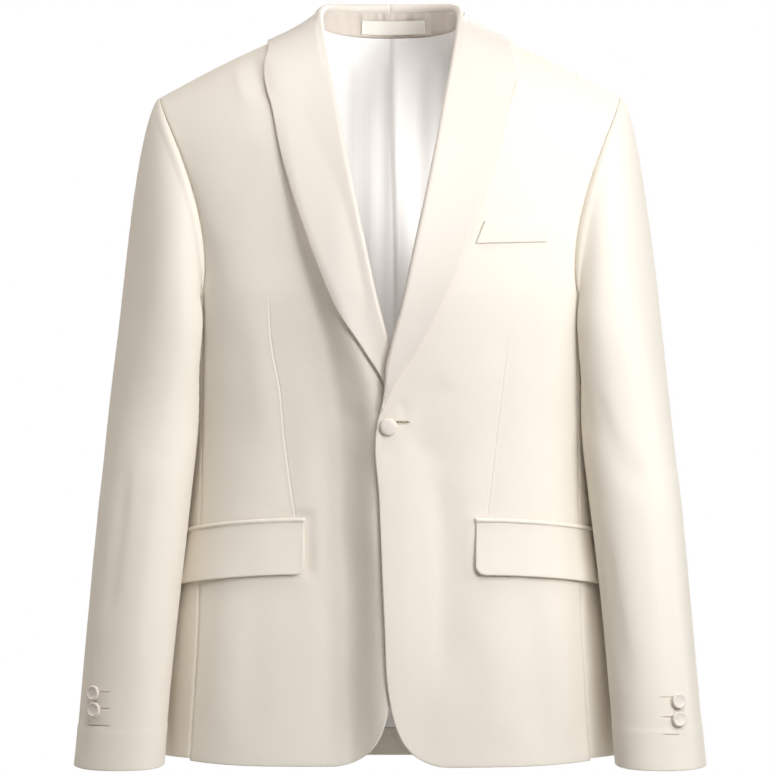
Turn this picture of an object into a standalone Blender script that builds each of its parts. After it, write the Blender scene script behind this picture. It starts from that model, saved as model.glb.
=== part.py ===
"""A one-button, shawl-collar dinner jacket of a suit, cut and sewn from its pattern pieces and
filled out as if worn, with nobody in it.

Metres, +Z up. The front faces -Y and +X is the wearer's left. The origin lies between the two neck
points of the shoulder seams, where the garment rests on a wearer's shoulders. Every piece of cloth is
a grid laid on a surface function and given its wall by Solidify; what lies on a panel is made from
the panel's own points, moved out.
"""

import math

import bmesh
import bpy
import numpy as np
from mathutils import Vector
from mathutils.bvhtree import BVHTree

# Walls of cloth and the gaps between pieces.
SHELL_WALL = 0.0016
LAPEL_WALL = 0.0020
LINING_WALL = 0.0010
SEAM_GAP = 0.00035
SHOULDER_SHORT = 0.0036
REST_GAP = 0.0008

# Heights, from the neck points down.
CHEST_Z = -0.268
HEM_FRONT_Z = -0.7375
HEM_SIDE_Z = -0.7290
HEM_BACK_Z = -0.7365
UNDERARM_SCOOP = 0.024

# Where the shoulder seam starts and ends, and the middle of the back neck seam.
NECK_POINT = (0.0745, 0.000, 0.000)
SHOULDER_TIP = (0.2296, 0.004, -0.0745)
SHOULDER_ARCH = 0.0030
BACK_NECK = (0.0, 0.0800, -0.0140)

# The torso's level sections are superellipses: half width, front depth and back depth at a height.
SQUARENESS = 2.4
BODY_SECTIONS = (
    # height, half_width, front_depth, back_depth
    (-0.745, 0.2300, 0.1020, 0.0900),
    (-0.620, 0.2230, 0.1040, 0.0940),
    (-0.520, 0.2090, 0.1020, 0.0880),
    (-0.430, 0.2010, 0.1040, 0.0830),
    (-0.340, 0.2065, 0.1150, 0.0940),
    (-0.268, 0.2140, 0.1215, 0.1040),
    (-0.180, 0.2150, 0.1180, 0.1060),
)

# Half the width of the front, and of the back, to the seams of the side panel.
FRONT_SEAM = (
    # height, x
    (-0.745, 0.1990),
    (-0.600, 0.1900),
    (-0.450, 0.1870),
    (-0.268, 0.1845),
)
BACK_SEAM = (
    # height, x
    (-0.745, 0.1880),
    (-0.600, 0.1820),
    (-0.430, 0.1640),
    (-0.268, 0.1880),
)

# The front edge: up past the button to the break, and on behind the roll of the lapel.
FRONT_EDGE = (
    # height, x
    (-0.745, -0.0040),
    (-0.630, -0.0045),
    (-0.550, -0.0078),
    (-0.475, -0.0108),
    (-0.405, -0.0135),
    (-0.388, -0.0090),
    (-0.378, -0.0052),
    (-0.371, 0.0018),
    (-0.360, 0.0024),
    (-0.347, 0.0026),
    (-0.320, 0.0085),
    (-0.268, 0.0213),
)
CUTAWAY_Z = -0.630
CUTAWAY_WIDTH = 0.062
CUTAWAY_SLANT = 0.36
CUTAWAY_CORNER = 7.0

# From the chest line to the shoulder each column of a panel is a cubic, drawn up from the chest and
# down from the shoulder seam by these two handles.
FRONT_HANDLES = (
    # across, up_x, up_y, up_z, down_x, down_y, down_z
    (0.0, 0.0190, 0.0020, 0.0850, -0.0080, -0.0560, -0.0440),
    (0.5, 0.0040, 0.0020, 0.0850, -0.0060, -0.0720, -0.0080),
    (1.0, -0.0120, -0.0040, 0.0800, -0.0120, -0.0550, -0.0140),
)
BACK_HANDLES = (
    # across, up_x, up_y, up_z, down_x, down_y, down_z
    (0.00, 0.0000, 0.0060, 0.0850, 0.0000, 0.0240, -0.0560),
    (0.36, 0.0010, 0.0080, 0.0850, 0.0000, 0.0640, -0.0080),
    (0.68, 0.0020, 0.0080, 0.0800, -0.0040, 0.0700, -0.0060),
    (1.00, -0.0080, 0.0120, 0.0800, -0.0100, 0.0600, -0.0120),
)
NECK_SHARE = 0.36

# Rows of faces from the hem to the chest line lie at these shares of the way up, closer together at
# the hem and the break; above the chest line they close up towards the shoulder.
BODY_ROWS = (0.0, 0.055, 0.12, 0.22, 0.34, 0.46, 0.58, 0.675, 0.765, 0.835, 0.91, 1.0)
FRONT_EXTRA_ROWS = (0.020, 0.735, 0.781)
SHOULDER_ROWS = 8
SHOULDER_CLUSTER = 1.4

# The wearer's right front dips behind the left one where they overlap.
UNDERLAP_DIP = 0.0100
UNDERLAP_REACH = 0.066
UNDERLAP_TOP_Z = -0.060

# Level sections of a sleeve: its middle, half its width and depth, and how far its back leans in.
SLEEVE_SECTIONS = (
    # height, middle_x, middle_y, half_width, half_depth, lean
    (-0.7350, 0.2668, -0.0780, 0.0440, 0.0440, 0.00),
    (-0.6000, 0.2548, -0.0670, 0.0440, 0.0490, 0.00),
    (-0.4700, 0.2418, -0.0500, 0.0456, 0.0545, 0.00),
    (-0.3800, 0.2325, -0.0330, 0.0462, 0.0630, 0.06),
    (-0.3150, 0.2270, -0.0190, 0.0446, 0.0780, 0.12),
)
SLEEVE_SQUARENESS = 2.3
CAP_Z = -0.315
CAP_UP = 0.60
SLEEVE_ROWS = 15
SLEEVE_SEAM_GAP = 0.0006
CUFF_TILT = (0.06, -0.10)
CAP_OUT = (0.0185, 0.0130, -0.0100)
CAP_RISE = 0.38
ARMHOLE_GAP = 0.0014
BODY_CLEARANCE = 0.0058
ARMHOLE_MIDDLE = (0.0, -0.170)

# Where the two sleeve seams run, in turns round the sleeve from its outer side towards the front.
HIND_SEAM = (-0.20, 0.05)
FORE_SEAM = (0.44, 0.60)

# The shawl collar, a section to each row, from the break up to the middle of the back: the crest of
# its fold, how far the outer edge lies from the crest, and how long the leg inside the fold is.
SHAWL_SECTIONS = (
    # station, crest_x, crest_y, crest_z, edge_x, edge_y, edge_z, leg
    (0.00, -0.0010, -0.1136, -0.3660, 0.0040, 0.0000, -0.0040, 0.0012),
    (0.04, -0.0015, -0.1158, -0.3470, 0.0105, 0.0000, -0.0040, 0.0014),
    (0.10, 0.0045, -0.1190, -0.3200, 0.0217, 0.0005, -0.0080, 0.0016),
    (0.19, 0.0151, -0.1225, -0.2800, 0.0337, 0.0020, -0.0090, 0.0018),
    (0.30, 0.0259, -0.1210, -0.2300, 0.0459, 0.0040, -0.0100, 0.0018),
    (0.41, 0.0368, -0.1120, -0.1800, 0.0538, 0.0060, -0.0110, 0.0018),
    (0.52, 0.0470, -0.0960, -0.1300, 0.0594, 0.0070, -0.0120, 0.0018),
    (0.62, 0.0555, -0.0745, -0.0850, 0.0617, 0.0080, -0.0130, 0.0018),
    (0.71, 0.0632, -0.0470, -0.0450, 0.0603, 0.0060, -0.0170, 0.0020),
    (0.79, 0.0692, -0.0150, -0.0080, 0.0560, -0.0020, -0.0220, 0.0030),
    (0.86, 0.0690, 0.0180, 0.0130, 0.0523, 0.0043, -0.0365, 0.0036),
    (0.91, 0.0580, 0.0420, 0.0178, 0.0456, 0.0094, -0.0448, 0.0040),
    (0.96, 0.0330, 0.0620, 0.0188, 0.0257, 0.0192, -0.0488, 0.0044),
    (1.00, 0.0007, 0.0690, 0.0190, 0.0000, 0.0230, -0.0510, 0.0046),
    (1.04, -0.0324, 0.0620, 0.0188, -0.0257, 0.0192, -0.0488, 0.0044),
)
FRONT_STATIONS = 11
SHAWL_CELLS = (9, 12)
NECK_STATION = 0.60
COLLAR_HEART = (0.0, 0.020, -0.100)
FOLD_RADIUS = 0.0036
ROLL_SEAM = 0.0030
ROLL_LIFT = 0.0016
LAPEL_BELLY = 0.0020
COLLAR_EASE = 0.0028

# Hip pockets: the jet on top and the flap that hangs from it, round the body from the front.
POCKET_START = 0.0830
POCKET_LENGTH = 0.1560
JET_TOP_Z = -0.4920
JET_DEPTH = 0.0052
JET_WALL = 0.0014
FLAP_DEPTH = 0.0505
FLAP_WALL = 0.0022
FLAP_CORNER = 0.0080
POCKET_FALL = 0.0145

# The breast pocket's welt, on the wearer's left.
WELT_START = (0.0840, -0.2232)
WELT_END = (0.1530, -0.2210)
WELT_DEPTH = 0.0228
WELT_LEAN = 0.0045
WELT_WALL = 0.0016

# Inside the back neck: the band that lines the collar's stand, the label and the back lining.
BAND_CELLS = 4
BAND_GAP = 0.0011
BAND_INWARD = 0.0022
BAND_LIFT = 0.0012
LABEL_SPAN = (-0.27, 0.34)
LABEL_RISE = (0.26, 0.84)
LABEL_WALL = 0.0006
LABEL_LIFT = 0.0016
LINING_ROWS = (0.0, 0.20, 0.42, 0.62, 0.80, 1.0)
LINING_FOOT_Z = -0.7080
LINING_TOP = 0.003
LINING_GAP = 0.0046
LINING_EDGE = 0.93
LINING_CLUSTER = 1.35
PLEAT_WIDTH = 0.012
PLEAT_DEPTH = 0.0022

# Covered buttons.
FRONT_BUTTON = 0.0172
CUFF_BUTTON = 0.0152
FRONT_BUTTON_PLACE = (-0.0015, -0.4028)
CUFF_BUTTON_Z = {"left": (-0.6720, -0.6895), "right": (-0.6655, -0.6820)}
CUFF_BUTTON_TURN = {"left": 0.158, "right": 0.135}
BUTTON_PROFILE = (
    # radius and height as shares of the button's radius, from the foot's rim to the crown
    (0.80, 0.00),
    (0.98, 0.12),
    (1.00, 0.24),
    (0.90, 0.40),
    (0.66, 0.47),
    (0.00, 0.50),
)
BUTTON_SIDES = 16

CLOTH = ("ivory_wool", (0.86, 0.83, 0.75), 0.85)
SATIN = ("ivory_satin", (0.87, 0.82, 0.76), 0.45)
LINING = ("white_lining", (0.88, 0.85, 0.82), 0.50)
LABEL = ("woven_label", (0.84, 0.81, 0.77), 0.60)


def smooth_rows(rows, key):
    """A table's values at any key, on smooth curves through its rows."""
    table = np.array(rows, float)
    keys, values = table[:, 0], table[:, 1:]
    slopes = np.gradient(values, keys, axis=0)
    key = np.clip(np.asarray(key, float), keys[0], keys[-1])
    low = np.clip(np.searchsorted(keys, key) - 1, 0, len(keys) - 2)
    step = (keys[low + 1] - keys[low])[..., None]
    t = (key - keys[low])[..., None] / step
    start, end = values[low], values[low + 1]
    rise = t * t * (3 - 2 * t)
    leave, arrive = t * (1 - t) ** 2, t * t * (t - 1)
    return start + (end - start) * rise + step * (slopes[low] * leave + slopes[low + 1] * arrive)


def smooth_step(t):
    t = np.clip(t, 0.0, 1.0)
    return t * t * (3 - 2 * t)


def cubic(start, start_handle, end_handle, end, t):
    """A point on a cubic with those handles, for arrays of points and of t."""
    t = np.asarray(t, float)[..., None]
    s = 1 - t
    return s**3 * start + 3 * s * s * t * start_handle + 3 * s * t * t * end_handle + t**3 * end


def unit(vectors):
    return vectors / np.maximum(np.linalg.norm(vectors, axis=-1, keepdims=True), 1e-12)


def points(x, y, z):
    return np.stack(np.broadcast_arrays(x, y, z), axis=-1).astype(float)


# The torso's form.


def body_depth(x, z, back):
    """How far the torso's front, or its back, stands from the side seams' plane."""
    section = smooth_rows(BODY_SECTIONS, z)
    depth = section[..., 2] if back else section[..., 1]
    share = np.clip(np.abs(x) / section[..., 0], 0.0, 1.0)
    return depth * (1 - share**SQUARENESS) ** (1 / SQUARENESS)


def around_body(turn, z, lift=0.0):
    """A point round the torso, by its angle from the centre front, moved out by lift."""
    section = smooth_rows(BODY_SECTIONS, z)
    turn = np.asarray(turn, float)
    depth = np.where(np.cos(turn) > 0, section[..., 1], section[..., 2])
    x_share, y_share = np.abs(np.sin(turn)) / section[..., 0], np.abs(np.cos(turn)) / depth
    reach = (x_share**SQUARENESS + y_share**SQUARENESS) ** (-1 / SQUARENESS)
    x, y = reach * np.sin(turn), -reach * np.cos(turn)
    slope_x = (np.abs(x) / section[..., 0]) ** (SQUARENESS - 1) / section[..., 0] * np.sign(x)
    slope_y = (np.abs(y) / depth) ** (SQUARENESS - 1) / depth * np.sign(y)
    length = np.hypot(slope_x, slope_y)
    return points(x + lift * slope_x / length, y + lift * slope_y / length, z)


def turn_at(x, z, back=False):
    turn = np.arctan2(x, body_depth(x, z, back))
    return np.pi - turn if back else turn


def hem_height(turn):
    """The hem's height round the body: lowest at the front and the back, higher at the sides."""
    end = np.where(np.cos(turn) > 0, HEM_FRONT_Z, HEM_BACK_Z)
    return end + (HEM_SIDE_Z - end) * np.sin(turn) ** 4


def front_edge_x(z):
    """The front edge: straight, then slanting away and round the corner into the hem."""
    z = np.asarray(z, float)
    drop = np.clip((CUTAWAY_Z - z) / (CUTAWAY_Z - HEM_FRONT_Z), 0.0, 1.0)
    corner = 1 - np.sqrt(1 - drop**CUTAWAY_CORNER)
    away = CUTAWAY_SLANT * drop * drop + (1 - CUTAWAY_SLANT) * corner
    return smooth_rows(FRONT_EDGE, z)[..., 0] + CUTAWAY_WIDTH * away


def shoulder_seam(share):
    share = np.asarray(share, float)[..., None]
    line = np.array(NECK_POINT) * (1 - share) + np.array(SHOULDER_TIP) * share
    return line + np.array((0.0, 0.0, SHOULDER_ARCH)) * np.sin(np.pi * share)


def underlap(x, z):
    """How far the wearer's right front is set back near the centre line, below the neck."""
    low = smooth_step((UNDERLAP_TOP_Z - z) / 0.10)
    return UNDERLAP_DIP * smooth_step(1 - (x + 0.01) / UNDERLAP_REACH) * low


def front_below(across, z):
    edge, seam = front_edge_x(z), smooth_rows(FRONT_SEAM, z)[..., 0]
    x = edge + (seam - edge) * across
    return points(x, -body_depth(x, z, back=False), z)


def roll_line(z):
    """Where the front's edge runs behind the lapel's roll, as x and y at a height."""
    rows = [(row[3], row[1] + ROLL_SEAM, row[2] + ROLL_LIFT) for row in SHAWL_SECTIONS[:FRONT_STATIONS]]
    return np.moveaxis(smooth_rows(rows, z), -1, 0)


def front_above(across, rise):
    start = front_below(across, np.full(np.shape(across), CHEST_Z))
    handles = smooth_rows(FRONT_HANDLES, across)
    end = shoulder_seam(across)
    place = cubic(start, start + handles[..., :3], end + handles[..., 3:], end, rise)
    edge = np.zeros_like(across)
    edge_start = front_below(edge, np.full(np.shape(across), CHEST_Z))
    edge_end = shoulder_seam(edge)
    handles = smooth_rows(FRONT_HANDLES, edge)
    line = cubic(edge_start, edge_start + handles[..., :3], edge_end + handles[..., 3:], edge_end, rise)
    roll_x, roll_y = roll_line(line[..., 2])
    ends = smooth_step(rise / 0.12) * smooth_step((1 - rise) / 0.08)
    fade = (1 - across) ** 3 * ends
    place[..., 0] += (roll_x - line[..., 0]) * fade
    place[..., 1] += (roll_y - line[..., 1]) * fade
    return place


def chest_split(up, rows, short=0.0):
    """How far a height is from the hem to the chest line, and from there to the shoulder."""
    chest = (len(rows) - 1) / (len(rows) - 1 + SHOULDER_ROWS)
    above = np.clip((1 - up) / (1 - chest), 0.0, 1.0)
    below = np.clip(up / chest, 0.0, 1.0)
    below = np.interp(below, np.linspace(0, 1, len(rows)), rows)
    return below, (1 - above**SHOULDER_CLUSTER) * (1 - short)


def front_panel(across, up, under=False, short=0.0):
    """A front: across from its edge to the side panel and armhole, up from hem to shoulder."""
    across, up = np.broadcast_arrays(np.asarray(across, float), np.asarray(up, float))
    seam = smooth_rows(FRONT_SEAM, np.full(np.shape(across), HEM_SIDE_Z))[..., 0]
    hem = hem_height(np.arcsin(np.clip(across * seam / BODY_SECTIONS[0][1], 0, 1)))
    share, rise = chest_split(up, sorted(BODY_ROWS + FRONT_EXTRA_ROWS), short)
    low = front_below(across, hem + (CHEST_Z - hem) * share)
    place = np.where((rise <= 0)[..., None], low, front_above(across, rise))
    if under:
        place[..., 1] += underlap(place[..., 0], place[..., 2])
    return place


def back_top(across):
    """The back's upper edge: the neck seam from the centre back, then the shoulder seam."""
    neck = neck_seam(np.clip(across / NECK_SHARE, 0.0, 1.0) * np.pi / 2)
    seam = shoulder_seam(np.clip((across - NECK_SHARE) / (1 - NECK_SHARE), 0.0, 1.0))
    return np.where((across <= NECK_SHARE)[..., None], neck, seam)


def neck_seam(quarter, inward=0.0):
    """The back neck seam, by its angle from the centre back, drawn in by inward."""
    x = (NECK_POINT[0] - inward) * np.sin(quarter)
    y = (BACK_NECK[1] - inward) * np.cos(quarter)
    return points(x, y, BACK_NECK[2] * np.cos(quarter) ** 0.6)


def back_below(across, z):
    x = smooth_rows(BACK_SEAM, z)[..., 0] * across
    return points(x, body_depth(x, z, back=True), z)


def back_above(across, rise):
    start = back_below(across, np.full(np.shape(across), CHEST_Z))
    handles = smooth_rows(BACK_HANDLES, across)
    end = back_top(across)
    return cubic(start, start + handles[..., :3], end + handles[..., 3:], end, rise)


def back_panel(across, up, short=0.0):
    """A half back: across from the centre seam to the side panel and armhole."""
    across, up = np.broadcast_arrays(np.asarray(across, float), np.asarray(up, float))
    seam = BACK_SEAM[0][1] / BODY_SECTIONS[0][1]
    hem = hem_height(np.pi - np.arcsin(np.clip(across * seam, 0, 1)))
    share, rise = chest_split(up, BODY_ROWS, short)
    low = back_below(across, hem + (CHEST_Z - hem) * share)
    return np.where((rise <= 0)[..., None], low, back_above(across, rise))


def side_panel(across, up):
    """A side panel: across from the front's seam to the back's, up from hem to underarm."""
    across, up = np.broadcast_arrays(np.asarray(across, float), np.asarray(up, float))
    low_turn = (FRONT_SEAM[0][1], BACK_SEAM[0][1])
    begin = turn_at(low_turn[0], HEM_SIDE_Z)
    finish = turn_at(low_turn[1], HEM_SIDE_Z, back=True)
    foot = hem_height(begin + (finish - begin) * across)
    top = CHEST_Z - UNDERARM_SCOOP * np.sin(np.pi * across)
    z = foot + (top - foot) * np.interp(up, np.linspace(0, 1, len(BODY_ROWS)), BODY_ROWS)
    front = turn_at(smooth_rows(FRONT_SEAM, z)[..., 0], z)
    rear = turn_at(smooth_rows(BACK_SEAM, z)[..., 0], z, back=True)
    return around_body(front + (rear - front) * across, z)


# The sleeves.


def armhole(turn):
    """The armhole's seam line, by turns from the shoulder tip: front, underarm, back."""
    turn = np.asarray(turn, float) % 1.0
    one = np.ones_like(turn)
    front = front_above(one, np.clip(1 - turn / 0.4, 0.0, 1.0))
    under = side_panel(np.clip((turn - 0.4) / 0.2, 0.0, 1.0), one)
    back = back_above(one, np.clip((turn - 0.6) / 0.4, 0.0, 1.0))
    found = np.where((turn < 0.4)[..., None], front, under)
    return np.where((turn > 0.6)[..., None], back, found)


def clear_of_body(place):
    """Pushes points of a sleeve out of the torso, to lie just clear of it."""
    section = smooth_rows(BODY_SECTIONS, place[..., 2])
    depth = np.where(place[..., 1] < 0, section[..., 1], section[..., 2])
    reach = np.hypot(place[..., 0], place[..., 1])
    inside = (
        (np.abs(place[..., 0]) / section[..., 0]) ** SQUARENESS
        + (np.abs(place[..., 1]) / depth) ** SQUARENESS
    ) ** (1 / SQUARENESS)
    grow = np.maximum(1.0, (1 + BODY_CLEARANCE / reach) / inside)
    return np.concatenate([place[..., :2] * grow[..., None], place[..., 2:]], axis=-1)


def sleeve_ring(turn, z):
    section = smooth_rows(SLEEVE_SECTIONS, z)
    middle_x, middle_y, half_width, half_depth, lean = np.moveaxis(section, -1, 0)
    angle = 2 * np.pi * np.asarray(turn, float)
    power = 2 / SLEEVE_SQUARENESS
    aside = half_width * np.sign(np.cos(angle)) * np.abs(np.cos(angle)) ** power
    ahead = -half_depth * np.sign(np.sin(angle)) * np.abs(np.sin(angle)) ** power
    x = middle_x + aside + lean * np.minimum(ahead, 0.0)
    near_cuff = smooth_step((-0.47 - z) / 0.20)
    tilt = near_cuff * (CUFF_TILT[0] * aside + CUFF_TILT[1] * ahead)
    return clear_of_body(points(x, middle_y + ahead, z + tilt))


def sleeve_cap(turn, rise):
    """The sleeve's head, from the level section below the arm up to the armhole."""
    low = sleeve_ring(turn, np.full(np.shape(turn), CAP_Z))
    lower = sleeve_ring(turn, np.full(np.shape(turn), CAP_Z - 0.01))
    hole = armhole(turn)
    radial = unit(hole[..., 1:] - np.array(ARMHOLE_MIDDLE))
    out = points(np.ones_like(radial[..., 0]), 0.35 * radial[..., 0], 0.35 * radial[..., 1])
    hole = hole + ARMHOLE_GAP * unit(out)
    reach = np.linalg.norm(hole - low, axis=-1, keepdims=True)
    share = np.clip(reach / 0.12, 0.15, 1.0)
    up_handle = low + unit(low - lower) * reach * CAP_RISE
    roll = points(CAP_OUT[0], CAP_OUT[1] * radial[..., 0], CAP_OUT[2])
    return cubic(low, up_handle, hole + roll * share, hole, rise)


def sleeve(turn, up):
    """A sleeve: round by turns from its outer side, up from cuff to armhole."""
    turn, up = np.broadcast_arrays(np.asarray(turn, float), np.asarray(up, float))
    cuff = SLEEVE_SECTIONS[0][0]
    low = sleeve_ring(turn, cuff + (CAP_Z - cuff) * np.clip(up / CAP_UP, 0.0, 1.0))
    high = sleeve_cap(turn, np.clip((up - CAP_UP) / (1 - CAP_UP), 0.0, 1.0))
    return np.where((up <= CAP_UP)[..., None], low, high)


def seam_turn(seam, up):
    at_armhole, at_cuff = seam
    return at_cuff + (at_armhole - at_cuff) * smooth_step(up)


def top_sleeve(across, up):
    hind, fore = seam_turn(HIND_SEAM, up), seam_turn(FORE_SEAM, up)
    return sleeve(hind + (fore - hind) * across, up)


def under_sleeve(across, up):
    fore, hind = seam_turn(FORE_SEAM, up), seam_turn(HIND_SEAM, up) + 1
    return sleeve(fore + (hind - fore) * across, up)


# What rests on the panels.


class Skin:
    """The outer surface of some panels, to lay other pieces on."""

    def __init__(self, surfaces, cells=56):
        corners, faces = [], []
        share = np.linspace(0, 1, cells + 1)
        across, up = np.meshgrid(share, share, indexing="ij")
        for surface in surfaces:
            start = len(corners)
            corners += [Vector(p) for p in surface(across, up).reshape(-1, 3)]
            for i in range(cells):
                for j in range(cells):
                    a = start + i * (cells + 1) + j
                    faces.append((a, a + cells + 1, a + cells + 2, a + 1))
        self.tree = BVHTree.FromPolygons(corners, faces)

    def front(self, x, z, lift=0.0):
        """The point of the front at x and z, moved out by lift, and the way out there."""
        place, normal, _, _ = self.tree.ray_cast(Vector((x, -1.0, z)), Vector((0.0, 1.0, 0.0)))
        outward = -normal if normal.y > 0 else normal
        return np.array(place + outward * lift), np.array(outward)

    def settle(self, place, lift):
        """Where a line from the garment's inside through a point leaves the skin, moved out."""
        heart = Vector(COLLAR_HEART)
        way = (Vector(place) - heart).normalized()
        found, normal, _, _ = self.tree.ray_cast(heart + way, -way)
        outward = normal if normal.dot(way) > 0 else -normal
        return np.array(found + outward * lift)

    def rest(self, place, lift, settle=True):
        """The place on the skin nearest to a point, moved out by lift; a point farther out stays
        there unless it is to settle."""
        near, normal, _, _ = self.tree.find_nearest(Vector(place))
        outward = normal if normal.dot(near - Vector((0.0, 0.0, near.z - 0.06))) > 0 else -normal
        if not settle and (Vector(place) - near).dot(outward) >= lift:
            return np.array(place)
        return np.array(near + outward * lift)


def shawl_frame(station, under):
    """The crest of the collar's fold with the ways along it, down its fall, out of it and down its
    inner leg, and the leg's length."""
    row = smooth_rows(SHAWL_SECTIONS, station)
    ahead = smooth_rows(SHAWL_SECTIONS, station + 0.01)
    behind = smooth_rows(SHAWL_SECTIONS, max(station - 0.01, 0.0))
    crest, edge = row[:3].copy(), row[:3] + row[3:6]
    if under:
        dip = np.array((0.0, float(underlap(crest[0], crest[2])), 0.0))
        crest, edge = crest + dip, edge + dip
    along = unit(ahead[:3] - behind[:3])
    fall = edge - crest
    fall = unit(fall - along * fall.dot(along))
    out = unit(np.cross(fall, along))
    upright = float(smooth_step((station - 0.66) / 0.16))
    down = np.array((0.0, 0.0, -1.0))
    down = down - along * down.dot(along)
    leg = unit(fall * (1 - upright) + down * upright)
    return crest, edge, fall, out, leg, row[6]


def inner_foot(station, under=False, drop=0.0):
    """The foot of the collar's inner leg, on the side that faces the neck."""
    crest, _, fall, out, leg, length = shawl_frame(station, under)
    facing = -fall * -leg.dot(out) + out * -leg.dot(fall)
    return crest + FOLD_RADIUS * facing + leg * (length + drop)


def shawl_section(station, under, skin):
    """One cross-section of the shawl collar, from the foot of its inner leg over the fold."""
    crest, edge, fall, out, leg, _ = shawl_frame(station, under)
    neck = float(smooth_step((station - NECK_STATION) / 0.15))
    lift = LAPEL_WALL + REST_GAP + COLLAR_EASE * neck
    edge = (1 - neck) * skin.rest(edge, lift) + neck * skin.settle(edge, lift)
    low = math.atan2(-leg.dot(fall), -leg.dot(out))
    ring = []
    for angle in np.linspace(low, math.pi / 2, 4):
        ring.append(crest + FOLD_RADIUS * (out * math.sin(angle) - fall * math.cos(angle)))
    outer = ring[-1]
    belly = LAPEL_BELLY * min(1.0, 6 * station)
    falling = []
    for share in (0.18, 0.42, 0.70, 1.0):
        place = outer + (edge - outer) * share + out * belly * math.sin(math.pi * share)
        falling.append(skin.rest(place, lift, settle=False))
    section = np.array([inner_foot(station, under)] + ring + falling)
    if station >= 1.0:
        section[:, 0] = SHAWL_SECTIONS[-2][1]
    return section


# Making the pieces.


def material(name, colour, roughness):
    found = bpy.data.materials.get(name)
    if found:
        return found
    made = bpy.data.materials.new(name)
    made.use_nodes = True
    shader = made.node_tree.nodes["Principled BSDF"]
    shader.inputs["Base Color"].default_value = (*colour, 1.0)
    shader.inputs["Roughness"].default_value = roughness
    shader.inputs["Metallic"].default_value = 0.0
    return made


def add_object(name, mesh, finish, collection):
    mesh.materials.append(material(*finish))
    mesh.shade_smooth()
    made = bpy.data.objects.new(name, mesh)
    collection.objects.link(made)
    return made


def cloth(name, surface, cells, wall, finish, collection, mirror=False, flip=False):
    """A piece of cloth: a grid laid on a surface function, then given its wall, inwards."""
    grid = bmesh.new()
    bmesh.ops.create_grid(grid, x_segments=cells[0], y_segments=cells[1], size=0.5)
    flat = np.array([v.co for v in grid.verts]) + 0.5
    place = surface(flat[:, 0], flat[:, 1])
    if mirror:
        place = place * np.array((-1.0, 1.0, 1.0))
    for vertex, where in zip(grid.verts, place):
        vertex.co = where
    if mirror != flip:
        bmesh.ops.reverse_faces(grid, faces=grid.faces[:])
    mesh = bpy.data.meshes.new(name)
    grid.to_mesh(mesh)
    grid.free()
    made = add_object(name, mesh, finish, collection)
    solid = made.modifiers.new("wall", "SOLIDIFY")
    solid.thickness, solid.offset = wall, -1.0
    solid.use_quality_normals = True
    return made


def inset(surface, size, low=(SEAM_GAP, SEAM_GAP), high=(SEAM_GAP, SEAM_GAP)):
    """The surface drawn in at its edges, so that it stays clear of what it is sewn to."""
    start = np.array(low) / np.array(size)
    span = 1 - start - np.array(high) / np.array(size)

    def drawn(across, up):
        return surface(start[0] + span[0] * across, start[1] + span[1] * up)

    return drawn


def make_fronts(collection):
    rows = len(BODY_ROWS + FRONT_EXTRA_ROWS) - 1 + SHOULDER_ROWS
    for side, under in (("left", False), ("right", True)):
        surface = inset(
            lambda across, up, under=under: front_panel(across, up, under, SHOULDER_SHORT),
            size=(0.20, 0.60),
        )
        cloth(f"front_{side}", surface, (10, rows), SHELL_WALL, CLOTH, collection, mirror=under)


def make_backs_and_sides(collection):
    rows = len(BODY_ROWS) - 1
    for side, mirror in (("left", False), ("right", True)):
        back = inset(lambda a, u: back_panel(a, u, SHOULDER_SHORT), size=(0.20, 0.60))
        cloth(f"back_{side}", back, (10, rows + SHOULDER_ROWS), SHELL_WALL, CLOTH, collection, mirror, flip=True)
        flank = inset(side_panel, size=(0.14, 0.44))
        cloth(f"side_{side}", flank, (5, rows), SHELL_WALL, CLOTH, collection, mirror)


def make_sleeves(collection):
    for side, mirror in (("left", False), ("right", True)):
        for name, surface, columns in (
            ("topsleeve", top_sleeve, 10),
            ("undersleeve", under_sleeve, 7),
        ):
            gap = (SLEEVE_SEAM_GAP, SEAM_GAP)
            drawn = inset(surface, size=(0.16, 0.65), low=gap, high=gap)
            cells = (columns, SLEEVE_ROWS)
            cloth(f"{name}_{side}", drawn, cells, SHELL_WALL, CLOTH, collection, mirror, flip=True)


def make_shawl(collection, skins):
    lower = np.linspace(0, NECK_STATION, SHAWL_CELLS[0] + 1)
    upper = np.linspace(NECK_STATION, 1, SHAWL_CELLS[1] + 1)
    stations = np.concatenate([lower, upper[1:]])
    for side, under in (("left", False), ("right", True)):
        sections = np.array([shawl_section(t, under, skins[side]) for t in stations])
        columns, rows = sections.shape[1] - 1, len(stations) - 1

        def surface(across, up, sections=sections, columns=columns, rows=rows):
            column = np.rint(across * columns).astype(int)
            return sections[np.rint(up * rows).astype(int), column]

        cloth(f"shawl_{side}", surface, (columns, rows), LAPEL_WALL, SATIN, collection, under)


def neck_band_surface(across, up):
    """The lining of the collar's stand, round the back neck; across runs from right to left."""
    side = 2 * across - 1
    station = 1 - (1 - NECK_STATION) * BAND_CELLS / SHAWL_CELLS[1] * np.abs(side)
    top = np.array([inner_foot(float(t), drop=BAND_GAP) for t in station.ravel()])
    top = top.reshape(station.shape + (3,))
    foot = neck_seam(np.abs(side) * np.pi / 2, inward=BAND_INWARD)
    foot[..., 2] += BAND_LIFT
    place = foot + (top - foot) * up[..., None]
    place[..., 0] *= np.sign(side)
    return place


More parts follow.
